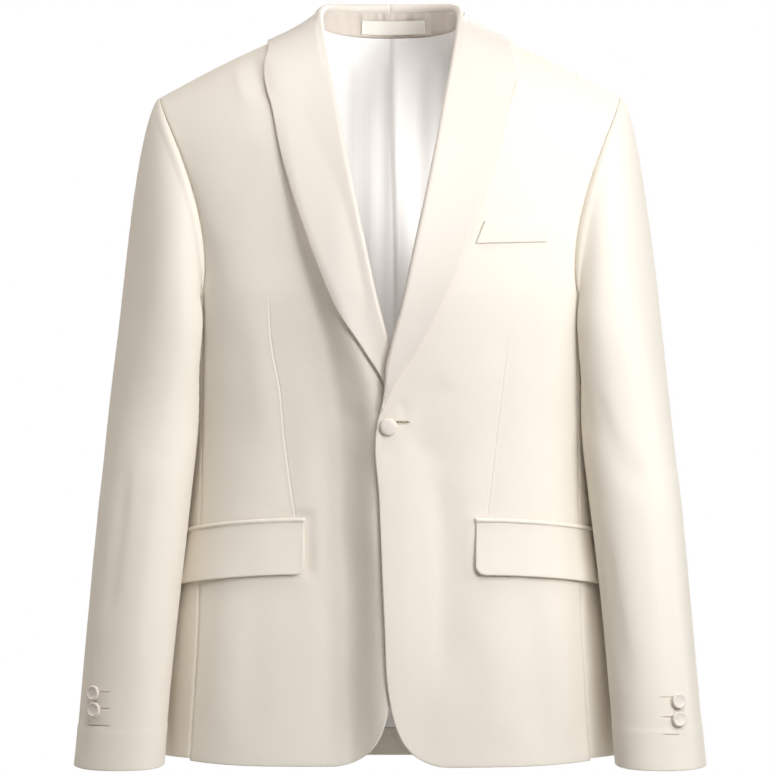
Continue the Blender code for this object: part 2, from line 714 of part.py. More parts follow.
def lining_surface(across, up):
    """The back lining: across from right to left, up from its foot to the neck and shoulders."""
    side = 2 * across - 1
    share = LINING_EDGE * np.abs(side) ** LINING_CLUSTER
    low, rise = chest_split(up, LINING_ROWS)
    rise = np.minimum(rise, 1 - LINING_TOP)

    def outer(share, low, rise):
        below = back_below(share, LINING_FOOT_Z + (CHEST_Z - LINING_FOOT_Z) * low)
        return np.where((rise <= 0)[..., None], below, back_above(share, rise))

    place = outer(share, low, rise)
    step = 0.004
    beside = outer(share + step, low, rise) - place
    above = place - outer(share, low - step, np.where(rise > 0, rise - step, 0.0))
    normal = unit(np.cross(above, beside))
    pleat = PLEAT_DEPTH * np.exp(-((place[..., 0] / PLEAT_WIDTH) ** 2))
    gap = LINING_GAP * (1 - 0.45 * smooth_step((rise - 0.75) / 0.25))
    place = place - normal * (SHELL_WALL + gap + LINING_WALL + pleat)[..., None]
    place[..., 0] *= np.sign(side)
    return place


def label_surface(across, up):
    """The label, laid on the band a little to the wearer's left of the middle."""
    side = LABEL_SPAN[0] + (LABEL_SPAN[1] - LABEL_SPAN[0]) * across
    rise = LABEL_RISE[0] + (LABEL_RISE[1] - LABEL_RISE[0]) * up
    place = neck_band_surface(0.5 + side / 2, rise)
    inward = unit(points(-place[..., 0], -place[..., 1], 0 * up))
    return place + inward * LABEL_LIFT


def make_inside(collection):
    band = (4 * BAND_CELLS, 2)
    cloth("neck_band", neck_band_surface, band, LINING_WALL, CLOTH, collection)
    cloth("label", label_surface, (6, 1), LABEL_WALL, LABEL, collection)
    lining = (12, len(LINING_ROWS) - 1 + SHOULDER_ROWS)
    cloth("back_lining", lining_surface, lining, LINING_WALL, LINING, collection)


def pocket_turns(z):
    """Angles round the body and the lengths along it from the pocket's front end, at a height."""
    turns = np.linspace(float(turn_at(POCKET_START, z)), math.radians(110), 240)
    ring = around_body(turns, np.full(turns.shape, z))
    lengths = np.concatenate([[0], np.cumsum(np.linalg.norm(np.diff(ring, axis=0), axis=1))])
    return turns, lengths


def hip_surface(top, depth, lift, corner=0.0, start=0.0, flare=0.0):
    """A strip laid on the hip, hanging from a height by depth, with its lower corners rounded."""
    turns, lengths = pocket_turns(top)

    def surface(across, up):
        span = POCKET_LENGTH - 2 * start
        ends = 0.5 - 0.5 * np.cos(np.pi * across)
        run = start + span * (0.5 * across + 0.5 * ends)
        near_end = np.minimum(run - start, start + span - run)
        bite = np.clip(corner - near_end, 0.0, corner)
        drop = depth - (corner - np.sqrt(np.maximum(corner**2 - bite**2, 0.0)))
        z = top - POCKET_FALL * (run / POCKET_LENGTH) ** 2 - drop * (1 - up)
        out = lift + flare * (1 - up)
        turn = np.interp(run, lengths, turns)
        base = around_body(turn, z)
        return base + (around_body(turn, z, 0.001) - base) / 0.001 * out[..., None]

    return surface


def make_pockets(collection, skin):
    for side, mirror in (("left", False), ("right", True)):
        jet = hip_surface(JET_TOP_Z, JET_DEPTH, REST_GAP + JET_WALL)
        cloth(f"jet_{side}", jet, (14, 1), JET_WALL, CLOTH, collection, mirror)
        flap = hip_surface(
            JET_TOP_Z - JET_DEPTH - SEAM_GAP * 2,
            FLAP_DEPTH,
            REST_GAP + FLAP_WALL,
            corner=FLAP_CORNER,
            start=0.0012,
            flare=0.0004,
        )
        cloth(f"flap_{side}", flap, (13, 4), FLAP_WALL, CLOTH, collection, mirror)

    def welt(across, up):
        place = np.zeros(np.shape(across) + (3,))
        for index in np.ndindex(np.shape(across)):
            a, u = float(across[index]), float(up[index])
            x = WELT_START[0] + (WELT_END[0] - WELT_START[0]) * a
            x += (WELT_LEAN * 2 * (1 - a) + WELT_LEAN * 0.5 * a) * u
            z = WELT_START[1] + (WELT_END[1] - WELT_START[1]) * a + WELT_DEPTH * u
            place[index] = skin.front(x, z, REST_GAP / 2 + WELT_WALL)[0]
        return place

    cloth("breast_welt", welt, (5, 2), WELT_WALL, CLOTH, collection)


def make_button(name, diameter, place, out, collection):
    """A covered button, turned about its axis and set on the cloth facing out."""
    rows = [(0.0, 0.0)] + list(BUTTON_PROFILE)
    profile = bmesh.new()
    radius = diameter / 2
    corners = [profile.verts.new((r * radius, 0.0, h * radius)) for r, h in rows]
    for a, b in zip(corners, corners[1:]):
        profile.edges.new((a, b))
    mesh = bpy.data.meshes.new(name)
    profile.to_mesh(mesh)
    profile.free()
    made = add_object(name, mesh, SATIN, collection)
    turned = made.modifiers.new("turned", "SCREW")
    turned.steps = turned.render_steps = BUTTON_SIDES
    turned.use_merge_vertices, turned.merge_threshold = True, 0.00005
    turned.use_normal_calculate = True
    made.location = place
    made.rotation_euler = Vector(out).to_track_quat("Z", "Y").to_euler()
    return made


def make_buttons(collection, skins):
    place, out = skins["left"].front(*FRONT_BUTTON_PLACE, lift=0.0006)
    make_button("front_button", FRONT_BUTTON, place, out, collection)
    for side, sign in (("left", 1.0), ("right", -1.0)):
        for row, height in zip(("upper", "lower"), CUFF_BUTTON_Z[side]):
            turn = CUFF_BUTTON_TURN[side]
            at = sleeve_ring(np.array(turn), np.array(height))
            beside = sleeve_ring(np.array(turn + 0.002), np.array(height))
            above = sleeve_ring(np.array(turn), np.array(height + 0.002))
            out = unit(np.cross(above - at, beside - at))
            place = at + out * 0.0006
            flip = np.array((sign, 1.0, 1.0))
            make_button(f"cuff_button_{side}_{row}", CUFF_BUTTON, place * flip, out * flip, collection)


def main():
    for old in list(bpy.data.objects):
        bpy.data.objects.remove(old)
    jacket = bpy.data.collections.new("dinner_jacket")
    bpy.context.scene.collection.children.link(jacket)
    skins = {
        "left": Skin([lambda a, u: front_panel(a, u, False), back_panel]),
        "right": Skin([lambda a, u: front_panel(a, u, True), back_panel]),
    }
    make_fronts(jacket)
    make_backs_and_sides(jacket)
    make_sleeves(jacket)
    make_shawl(jacket, skins)
    make_inside(jacket)
    make_pockets(jacket, skins["left"])
    make_buttons(jacket, skins)


main()
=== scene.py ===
"""The looks of a one-button, shawl-collar suit jacket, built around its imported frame.

Every piece of cloth is laid again, finely, on the same cut as its solid: with turned edges, pressed
seams, darts and soft folds. Metres, +Z up; the front faces -Y and +X is the wearer's left.
"""

import math

import bpy
import numpy as np
from bpy.props import FloatProperty, FloatVectorProperty, PointerProperty
from mathutils import Matrix, Vector
from mathutils.bvhtree import BVHTree
from mathutils.kdtree import KDTree


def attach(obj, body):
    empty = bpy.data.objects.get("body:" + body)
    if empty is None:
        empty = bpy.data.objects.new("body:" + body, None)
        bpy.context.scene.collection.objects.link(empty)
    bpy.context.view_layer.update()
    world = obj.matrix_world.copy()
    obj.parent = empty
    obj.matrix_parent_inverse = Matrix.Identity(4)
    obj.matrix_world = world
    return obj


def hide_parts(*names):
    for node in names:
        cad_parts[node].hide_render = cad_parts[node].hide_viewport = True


bl_info = {
    "name": "Shawl-collar suit jacket",
    "version": (1, 0, 0),
    "blender": (4, 5, 0),
    "location": "3D View > Sidebar > Jacket",
    "description": "Builds the cloth, seams, buttons and stitches of a suit jacket",
    "category": "Object",
}

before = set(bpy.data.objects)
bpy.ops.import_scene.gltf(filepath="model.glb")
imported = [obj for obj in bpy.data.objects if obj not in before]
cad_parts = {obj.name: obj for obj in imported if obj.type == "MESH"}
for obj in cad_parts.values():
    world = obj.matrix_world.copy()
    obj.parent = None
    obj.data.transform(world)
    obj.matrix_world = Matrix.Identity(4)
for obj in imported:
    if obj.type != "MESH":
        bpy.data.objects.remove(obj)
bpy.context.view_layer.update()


def linear(code):
    """An sRGB hex colour as linear red, green and blue."""
    shares = [int(code[i : i + 2], 16) / 255 for i in (1, 3, 5)]
    return tuple(c / 12.92 if c <= 0.04045 else ((c + 0.055) / 1.055) ** 2.4 for c in shares)


# Walls of cloth and what keeps pieces clear of what they lie on.
SHELL_WALL = 0.0016
LAPEL_WALL = 0.0020
LINING_WALL = 0.0010
REST_GAP = 0.0008

# Heights, from the neck points down.
CHEST_Z = -0.268
HEM_FRONT_Z = -0.7375
HEM_SIDE_Z = -0.7290
HEM_BACK_Z = -0.7365
UNDERARM_SCOOP = 0.024

# Where the shoulder seam starts and ends, and the middle of the back neck seam.
NECK_POINT = (0.0745, 0.000, 0.000)
SHOULDER_TIP = (0.2296, 0.004, -0.0745)
SHOULDER_ARCH = 0.0030
BACK_NECK = (0.0, 0.0800, -0.0140)

# The torso's level sections are superellipses: half width, front depth and back depth at a height.
SQUARENESS = 2.4
BODY_SECTIONS = (
    # height, half_width, front_depth, back_depth
    (-0.745, 0.2300, 0.1020, 0.0900),
    (-0.620, 0.2230, 0.1040, 0.0940),
    (-0.520, 0.2090, 0.1020, 0.0880),
    (-0.430, 0.2010, 0.1040, 0.0830),
    (-0.340, 0.2065, 0.1150, 0.0940),
    (-0.268, 0.2140, 0.1215, 0.1040),
    (-0.180, 0.2150, 0.1180, 0.1060),
)

# Half the width of the front, and of the back, to the seams of the side panel.
FRONT_SEAM = (
    # height, x
    (-0.745, 0.1990),
    (-0.600, 0.1900),
    (-0.450, 0.1870),
    (-0.268, 0.1845),
)
BACK_SEAM = (
    # height, x
    (-0.745, 0.1880),
    (-0.600, 0.1820),
    (-0.430, 0.1640),
    (-0.268, 0.1880),
)

# The front edge: up past the button to the break, and on behind the roll of the lapel.
FRONT_EDGE = (
    # height, x
    (-0.745, -0.0040),
    (-0.630, -0.0045),
    (-0.550, -0.0078),
    (-0.475, -0.0108),
    (-0.405, -0.0135),
    (-0.390, -0.0104),
    (-0.380, -0.0068),
    (-0.371, -0.0034),
    (-0.360, -0.0004),
    (-0.347, 0.0020),
    (-0.320, 0.0085),
    (-0.268, 0.0213),
)
BREAK_Z = -0.352
CUTAWAY_Z = -0.630
CUTAWAY_WIDTH = 0.062
CUTAWAY_SLANT = 0.36
CUTAWAY_CORNER = 7.0

# From the chest line to the shoulder each column of a panel is a cubic, drawn up from the chest and
# down from the shoulder seam by these two handles.
FRONT_HANDLES = (
    # across, up_x, up_y, up_z, down_x, down_y, down_z
    (0.0, 0.0190, 0.0020, 0.0850, -0.0080, -0.0560, -0.0440),
    (0.5, 0.0040, 0.0020, 0.0850, -0.0060, -0.0720, -0.0080),
    (1.0, -0.0120, -0.0040, 0.0800, 0.0010, -0.0550, -0.0140),
)
BACK_HANDLES = (
    # across, up_x, up_y, up_z, down_x, down_y, down_z
    (0.00, 0.0000, 0.0060, 0.0850, 0.0000, 0.0240, -0.0560),
    (0.36, 0.0010, 0.0080, 0.0850, 0.0000, 0.0640, -0.0080),
    (0.68, 0.0020, 0.0080, 0.0800, -0.0040, 0.0700, -0.0060),
    (1.00, -0.0080, 0.0120, 0.0800, -0.0100, 0.0600, -0.0120),
)
NECK_SHARE = 0.36


# The wearer's right front lies back behind the left one where they overlap, and a soft trough runs
# beside the lapel and the overlap; below the break both stand forward at the centre.
UNDERLAP_REACH = 0.066
OVERLAP_EDGE = 0.012
FORWARD_REACH = 0.050
TROUGH_END = 0.186
UNDER_ROWS = (
    # height, where the trough's wall starts, how wide it is, its depth, set back, brought forward
    (-0.770, -0.004, 0.040, 0.0146, 0.0040, 0.0020),
    (-0.700, 0.000, 0.042, 0.0196, 0.0042, 0.0045),
    (-0.650, 0.002, 0.042, 0.0224, 0.0042, 0.0055),
    (-0.600, 0.005, 0.040, 0.0233, 0.0042, 0.0060),
    (-0.550, 0.008, 0.038, 0.0230, 0.0042, 0.0060),
    (-0.500, 0.012, 0.037, 0.0224, 0.0042, 0.0060),
    (-0.430, 0.010, 0.040, 0.0218, 0.0044, 0.0052),
    (-0.395, 0.011, 0.042, 0.0207, 0.0056, 0.0016),
    (-0.365, 0.016, 0.041, 0.0199, 0.0080, 0.0000),
    (-0.330, 0.028, 0.036, 0.0185, 0.0096, 0.0000),
    (-0.280, 0.048, 0.027, 0.0157, 0.0100, 0.0000),
    (-0.230, 0.070, 0.019, 0.0123, 0.0100, 0.0000),
    (-0.180, 0.087, 0.015, 0.0078, 0.0100, 0.0000),
    (-0.110, 0.100, 0.015, 0.0017, 0.0050, 0.0000),
    (-0.060, 0.100, 0.015, 0.0000, 0.0000, 0.0000),
)

# Level sections of a sleeve: its middle, half its width and depth, and how far its back leans in.
SLEEVE_SECTIONS = (
    # height, middle_x, middle_y, half_width, half_depth, lean
    (-0.7350, 0.2668, -0.0780, 0.0440, 0.0440, 0.00),
    (-0.6000, 0.2548, -0.0670, 0.0440, 0.0490, 0.00),
    (-0.4700, 0.2418, -0.0500, 0.0456, 0.0545, 0.00),
    (-0.3800, 0.2325, -0.0330, 0.0462, 0.0630, 0.06),
    (-0.3150, 0.2270, -0.0190, 0.0446, 0.0780, 0.12),
)
SLEEVE_SQUARENESS = 2.3
CAP_Z = -0.315
CAP_UP = 0.60
CUFF_TILT = 0.10
CAP_OUT = (0.0185, 0.0130, -0.0100)
CAP_RISE = 0.38
ARMHOLE_GAP = 0.0002
BODY_CLEARANCE = 0.0058
ARMHOLE_MIDDLE = (0.0, -0.170)
# Below the armhole the sleeve laps a little over the front: turn, its reach, height, and x, y, z.
UNDERARM_LAP = (0.46, 0.07, -0.292, -0.0036, -0.0026, 0.0)

# Where the two sleeve seams run, in turns round the sleeve from its outer side towards the front.
HIND_SEAM = (-0.20, 0.05)
FORE_SEAM = (0.44, 0.60)

# The shawl collar, a section to each row, from the break up to the middle of the back: the crest of
# its fold, how far the outer edge lies from the crest, and how long the leg inside the fold is.
SHAWL_SECTIONS = (
    # station, crest_x, crest_y, crest_z, edge_x, edge_y, edge_z, leg
    (-0.045, -0.0084, -0.1128, -0.3850, 0.0012, 0.0000, -0.0010, 0.0004),
    (0.00, -0.0036, -0.1142, -0.3640, 0.0048, 0.0000, -0.0060, 0.0010),
    (0.04, -0.0014, -0.1160, -0.3460, 0.0125, 0.0000, -0.0048, 0.0014),
    (0.10, 0.0045, -0.1190, -0.3200, 0.0217, 0.0005, -0.0080, 0.0016),
    (0.19, 0.0151, -0.1225, -0.2800, 0.0323, 0.0020, -0.0090, 0.0018),
    (0.30, 0.0259, -0.1210, -0.2300, 0.0426, 0.0040, -0.0100, 0.0018),
    (0.41, 0.0368, -0.1120, -0.1800, 0.0498, 0.0060, -0.0110, 0.0018),
    (0.52, 0.0470, -0.0960, -0.1300, 0.0555, 0.0070, -0.0120, 0.0018),
    (0.62, 0.0555, -0.0745, -0.0850, 0.0580, 0.0080, -0.0130, 0.0018),
    (0.71, 0.0632, -0.0470, -0.0450, 0.0518, 0.0060, -0.0170, 0.0020),
    (0.79, 0.0692, -0.0150, -0.0080, 0.0484, -0.0020, -0.0220, 0.0030),
    (0.86, 0.0690, 0.0180, 0.0130, 0.0438, 0.0043, -0.0355, 0.0036),
    (0.91, 0.0580, 0.0420, 0.0178, 0.0456, 0.0094, -0.0448, 0.0040),
    (0.96, 0.0330, 0.0620, 0.0188, 0.0257, 0.0192, -0.0488, 0.0044),
    (1.00, 0.0007, 0.0690, 0.0190, 0.0000, 0.0230, -0.0510, 0.0046),
    (1.04, -0.0324, 0.0620, 0.0188, -0.0257, 0.0192, -0.0488, 0.0044),
)
FRONT_STATIONS = 12
NECK_STATION = 0.60
COLLAR_HEART = (0.0, 0.020, -0.100)
FOLD_RADIUS = 0.0036
ROLL_SEAM = 0.0030
ROLL_LIFT = 0.0016
LAPEL_BELLY = -0.0010
LAPEL_CURL = 0.0015
LAPEL_LENGTH = 0.36
COLLAR_LENGTH = 0.28
LAPEL_SMOOTHING = 3
COLLAR_SMOOTHING = 26
COLLAR_TURN = 0.84  # the station from which the fall is drawn smooth, up to the centre back
STRAY = 0.003  # a point this far from between its neighbours is put there
COLLAR_EASE = 0.0028

# Hip pockets: the jet on top and the flap that hangs from it, round the body from the front.
POCKET_START = 0.0830
POCKET_LENGTH = 0.1560
JET_TOP_Z = -0.4920
JET_DEPTH = 0.0052
JET_WALL = 0.0014
JET_SWELL = 0.0019
FLAP_DEPTH = 0.0505
FLAP_WALL = 0.0022
FLAP_CORNER = 0.0080
POCKET_FALL = 0.0145
POCKET_TOP = -0.482  # below this the cloth lies flat under a pocket

# The breast pocket's welt, on the wearer's left.
WELT_START = (0.0840, -0.2232)
WELT_END = (0.1530, -0.2210)
WELT_DEPTH = 0.0228
WELT_LEAN = 0.0045
WELT_WALL = 0.0016

# Inside the back neck: the band that lines the collar's stand, the label and the back lining.
BAND_REACH = 1 / 3
BAND_TUCK = 0.0012
BAND_INWARD = 0.0022
BAND_LIFT = 0.0012
LABEL_SPAN = (-0.27, 0.34)
LABEL_RISE = (0.17, 0.64)
LABEL_WALL = 0.0006
LABEL_LIFT = 0.0019
LINING_FOOT_Z = -0.7080
LINING_TOP = 0.003
LINING_GAP = 0.0046
LINING_EDGE = 0.93

# Covered buttons.
FRONT_BUTTON = 0.0172
CUFF_BUTTON = 0.0152
FRONT_BUTTON_PLACE = (-0.0015, -0.4028)
BUTTON_BACK = ((0.70, 0.00), (0.84, 0.03), (0.95, 0.09), (0.99, 0.16), (1.0, 0.22))
BUTTON_DOME = (
    # distance from the middle and height, as shares of the radius
    *BUTTON_BACK,
    *((0.97, 0.32), (0.90, 0.40), (0.78, 0.46), (0.62, 0.50), (0.42, 0.53), (0.20, 0.545), (0.0, 0.55)),
)
BUTTON_DISH = (
    *BUTTON_BACK,
    *((0.98, 0.32), (0.93, 0.42), (0.85, 0.47), (0.76, 0.46)),
    *((0.66, 0.40), (0.52, 0.36), (0.30, 0.35), (0.0, 0.36)),
)
CUFF_BUTTONS = {
    # turn round the sleeve and height, of the upper and the lower button
    "left": ((0.179, -0.6669), (0.184, -0.6846)),
    "right": ((0.142, -0.6601), (0.152, -0.6762)),
}


# How finely the cloth is laid, and how its edges, seams and darts are shaped.
FAR = 1.0  # farther from an edge or a seam than either is felt
PITCH = 0.0034
TURNED_STEPS = (0.0, 0.0001, 0.0003, 0.0006, 0.0011, 0.0019, 0.0030)
SEAM_STEPS = (0.0, 0.0004, 0.0009, 0.0016, 0.0026, 0.0042)
DART_STEPS = (0.0004, 0.0009, 0.0015, 0.0022, 0.0032, 0.0048)
CORNER_STEPS = (0.0045, 0.0062, 0.0085, 0.0112, 0.0142)
HOLE_COLUMN_STEPS = tuple(0.0014 * step for step in range(1, 9))
HOLE_ROW_STEPS = (0.0003, 0.0006, 0.0009, 0.0013, 0.0019, 0.0027, 0.0038)
# The columns are spaced for these widths. The dart is at a share of the front's width, and the
# buttonhole this far in from its edge.
FRONT_WIDTH = 0.20
DART_COLUMN = 0.560
HOLE_COLUMN = 0.0205
BACK_WIDTH = 0.20
BACK_SMOOTHING = 30
TOP_SLEEVE_WIDTH = 0.340
UNDER_SLEEVE_WIDTH = 0.230
SLEEVE_LENGTH = 0.680
SEAM_DITCH = 0.0009
SEAM_WIDTH = 0.0012
SEAM_BULK = 0.00022
QUIET_NEAR_SEAM = 0.020
TURN = 2 * np.pi
FRONT_FACING = 0.072
FRONT_HEM_FACING = 0.030
HEM_FACING = 0.026
CUFF_FACING = 0.030
ROLL_STEPS = 10
FALL_SHARES = tuple(np.linspace(0.05, 0.93, 22)) + (0.955, 0.975, 0.988, 0.996, 1.0)

# Each front's dart: where it runs down from its point to the pocket.
DARTS = {
    # height, x
    "right": (
        (-0.4930, 0.0928),
        (-0.4450, 0.1000),
        (-0.4150, 0.1039),
        (-0.3620, 0.1088),
        (-0.3270, 0.1156),
        (-0.2640, 0.1198),
    ),
    "left": (
        (-0.4930, 0.0954),
        (-0.4200, 0.1038),
        (-0.3500, 0.1118),
        (-0.2960, 0.1178),
    ),
}

# Soft folds, as lines on the cloth: from a point to another, bowed sideways, with the fold's width
# and height, all in millimetres; a trough's height is below zero, and lean, a share, makes one side
# the steeper.
FRONT_FOLDS = {
    # from_x, from_z, to_x, to_z, bow, width, height, lean
    "left": (
        (47, -425, 54, -670, 4, 17, -3.8, 0.3),
        (22, -400, 18, -700, -4, 16, 1.2, 0),
        (135, -560, 142, -720, 3, 14, -1.6, -0.2),
        (165, -540, 176, -725, 2, 13, 1.4, 0),
        (100, -585, 98, -725, 4, 20, 1.2, 0.2),
        (8.5, -376, 16.5, -396, 1, 5, -0.9, 0.2),
        (20, -392, 60, -360, 4, 12, -1, 0),
        (16, -410, 70, -440, -3, 13, -0.9, 0.2),
        (130, -115, 172, -215, 6, 16, -1.2, 0.2),
        (150, -300, 150, -430, -3, 18, -1.2, 0.1),
    ),
    "right": (
        (34, -330, 30, -660, -6, 18, -2.6, -0.3),
        (78, -350, 74, -700, 4, 21, 1.8, 0),
        (52, -560, 56, -725, 2, 14, -1, 0.1),
        (128, -560, 134, -722, 3, 16, -1.4, -0.2),
        (160, -545, 168, -720, 2, 15, 1, 0),
        (138, -30, 120, -85, -4, 8.5, -1.6, 0.2),
        (152, -42, 139, -88, 3, 7, 0.9, 0),
        (132, -120, 168, -215, 6, 16, -1.2, 0.2),
        (150, -300, 150, -440, -3, 18, -1.2, 0.1),
        (60, -380, 20, -402, 3, 12, -0.8, 0.2),
    ),
}
BACK_FOLDS = {
    # from_x, from_z, to_x, to_z, bow, width, height, lean
    "left": (
        (60, -330, 70, -560, 6, 18, -2.2, 0.2),
        (120, -260, 108, -480, -6, 20, -2.6, 0.1),
        (88, -480, 104, -720, 4, 22, 1.6, 0),
        (30, -420, 40, -700, -4, 16, -1.4, 0.2),
        (60, -30, 110, -58, 4, 10, -1, 0.1),
        (140, -110, 158, -250, 6, 16, -1.8, -0.2),
        (145, -560, 152, -715, 3, 17, -1.6, 0),
        (20, -392, 110, -372, 5, 11, -1.2, 0.1),
    ),
    "right": (
        (52, -300, 66, -540, 5, 19, -2.4, -0.2),
        (116, -280, 110, -500, -4, 18, -2.2, 0.1),
        (96, -500, 108, -722, 5, 20, 1.4, 0),
        (36, -450, 34, -715, 4, 18, -1.2, 0.2),
        (66, -32, 120, -64, 3, 11, -1.1, 0.1),
        (138, -105, 160, -240, 4, 15, -1.6, -0.2),
        (142, -570, 156, -718, 3, 18, -1.4, 0.1),
        (24, -400, 100, -384, 4, 12, -1.3, 0.1),
    ),
}
SIDE_FOLDS = {
    # from_y, from_z, to_y, to_z, bow, width, height, lean
    "left": (
        (-20, -320, -6, -520, 4, 18, -2.2, 0.1),
        (26, -540, 30, -715, 3, 18, -1.6, 0),
        (-30, -560, -22, -710, 2, 14, 1, 0),
    ),
    "right": (
        (-16, -330, -10, -510, -4, 17, -2, 0.1),
        (22, -550, 32, -718, 3, 20, -1.5, 0),
    ),
}
# On the sleeves the first measure runs round the sleeve, from its outer side towards the front.
SLEEVE_FOLDS = {
    # from_round, from_z, to_round, to_z, bow, width, height, lean
    "left": (
        (52, -500, 50, -690, 4, 12, -2.2, 0.3),
        (78, -450, 70, -600, -4, 14, 1, 0),
        (110, -360, 75, -470, 5, 14, -1.8, 0.2),
        (135, -330, 118, -420, 3, 12, -1.4, 0.2),
        (70, -130, 62, -300, 6, 20, 1.4, 0),
        (30, -300, 20, -460, -5, 18, -1.4, 0),
        (122, -500, 112, -660, 3, 13, -1.4, 0.1),
        (-50, -420, -30, -560, 4, 18, -2.2, 0.1),
    ),
    "right": (
        (58, -430, 52, -600, 4, 11, -2.2, -0.3),
        (92, -470, 84, -660, -3, 14, 1.2, 0),
        (112, -350, 82, -450, 5, 14, -1.6, 0.2),
        (130, -320, 120, -430, 3, 12, -1.4, 0.2),
        (74, -140, 60, -290, 6, 20, 1.2, 0),
        (28, -330, 16, -480, -5, 17, -1.6, 0),
        (-46, -430, -34, -570, 4, 18, -2, 0.1),
    ),
}
UNDERSLEEVE_FOLDS = (
    # from_round, from_z, to_round, to_z, bow, width, height, lean
    (215, -360, 240, -440, 4, 12, -2.2, 0.2),
    (205, -400, 236, -478, 4, 12, -2, -0.2),
    (214, -470, 228, -620, 3, 16, -1.4, 0.1),
    (270, -420, 262, -580, 4, 18, -1.8, 0.1),
)
SLEEVE_ROUND = 0.320
HEAD_ROLL = 0.0015
SLEEVE_TUCKS = (0.0016, 0.0034, 0.0056)  # rows of the sleeve's head turned in behind the armhole seam
ARMHOLE_DITCH = 0.55
TURN_UP = 0.040
TURN_UP_STEP = 0.0006

# The front buttonhole and those of the cuffs: how far each reaches past its button's middle.
BUTTONHOLE_Z = -0.3984
BUTTONHOLE_SPAN = (-0.0050, 0.0176)
SLIT_HALF = 0.0007
SLIT_DEPTH = 0.0042
SLIT_INNER_DEPTH = 0.0038
SLIT_EASE = 0.0007  # how far beyond its end a slit closes
# How far a hole's stitches lie from its middle line, and how far apart.
FRONT_PURL = (0.0013, 0.0006)
CUFF_PURL = (0.0005, 0.0007)
CUFF_HOLES = {
    # height, from_x and to_x of each of a cuff's three sewn lines
    "left": ((-0.6674, 0.2650, 0.2770), (-0.6868, 0.2650, 0.2770), (-0.7040, 0.2680, 0.2822)),
    "right": ((-0.6625, 0.2752, 0.2840), (-0.6787, 0.2752, 0.2836), (-0.6954, 0.2760, 0.2950)),
}
CUFF_HOLE_STEPS = tuple(0.0005 * step for step in range(1, 6))
CUFF_HOLE_HALF = 0.0006
CUFF_HOLE_DEPTH = 0.0011


# The stage. Each light's share is how bright it makes a white surface that faces it.
FLOOR_Z = -1.45
FLOOR_RADIUS = 7.5
FLOOR_SIDES = 96
LIT_PLACE = (0.0, 0.0, -0.36)
LIGHTS = (
    # name, degrees aside, degrees above, distance, size, share, colour
    ("key_light", 36, 12, 1.7, 0.60, 0.52, "#FAFCFF"),
    ("side_light", 60, 26, 1.7, 0.60, 0.19, "#FAFCFF"),
    ("high_light", 18, 34, 1.7, 0.60, 0.31, "#FFFFFF"),
    ("top_light", -8, 74, 3.6, 1.40, 0.36, "#FFFFFF"),
    ("left_light", -98, 27, 4.6, 1.70, 0.38, "#FFF9F6"),
    ("back_light", 150, 30, 4.6, 1.80, 0.40, "#FFFFFF"),
)
# A small light inside the jacket, behind the left lapel, and the place on the lining that it lights.
INSIDE_LIGHT = (0.088, 0.000, -0.170)
INSIDE_LIT = (-0.045, 0.090, -0.110)
CAMERA_PLACE = (-0.002, -6.0, -0.3646)
CAMERA_LENS = 278.8


def smooth_rows(rows, key):
    """A table's values at any key, on smooth curves through its rows."""
    table = np.array(rows, float)
    keys, values = table[:, 0], table[:, 1:]
    slopes = np.gradient(values, keys, axis=0)
    key = np.clip(np.asarray(key, float), keys[0], keys[-1])
    low = np.clip(np.searchsorted(keys, key) - 1, 0, len(keys) - 2)
    step = (keys[low + 1] - keys[low])[..., None]
    t = (key - keys[low])[..., None] / step
    start, end = values[low], values[low + 1]
    rise = t * t * (3 - 2 * t)
    leave, arrive = t * (1 - t) ** 2, t * t * (t - 1)
    return start + (end - start) * rise + step * (slopes[low] * leave + slopes[low + 1] * arrive)


def smooth_step(t):
    """From zero at 0 to one at 1, level at both ends."""
    t = np.clip(t, 0.0, 1.0)
    return t * t * (3 - 2 * t)


def bell(value, width):
    """One at zero, and falling away softly on both sides over a width."""
    return np.exp(-((value / width) ** 2))


def cubic(start, start_handle, end_handle, end, t):
    """A point on a cubic with those handles, for arrays of points and of t."""
    t = np.asarray(t, float)[..., None]
    s = 1 - t
    return s**3 * start + 3 * s * s * t * start_handle + 3 * s * t * t * end_handle + t**3 * end


def drawn_up(table, across, start, end, rise):
    """A panel's place between the chest line and its top, by its table of handles."""
    handles = smooth_rows(table, across)
    return cubic(start, start + handles[..., :3], end + handles[..., 3:], end, rise)


def float_grid(first, second):
    """Two measures as arrays of one shape."""
    return np.broadcast_arrays(np.asarray(first, float), np.asarray(second, float))


def unit(vectors):
    """Vectors of length one in the same ways."""
    return vectors / np.maximum(np.linalg.norm(vectors, axis=-1, keepdims=True), 1e-12)


def points(x, y, z):
    """Points from their three coordinates, which may be arrays or numbers."""
    return np.stack(np.broadcast_arrays(x, y, z), axis=-1).astype(float)


# The torso's form.


def body_depth(x, z, back):
    """How far the torso's front, or its back, stands from the side seams' plane."""
    section = smooth_rows(BODY_SECTIONS, z)
    depth = section[..., 2] if back else section[..., 1]
    share = np.clip(np.abs(x) / section[..., 0], 0.0, 1.0)
    return depth * (1 - share**SQUARENESS) ** (1 / SQUARENESS)


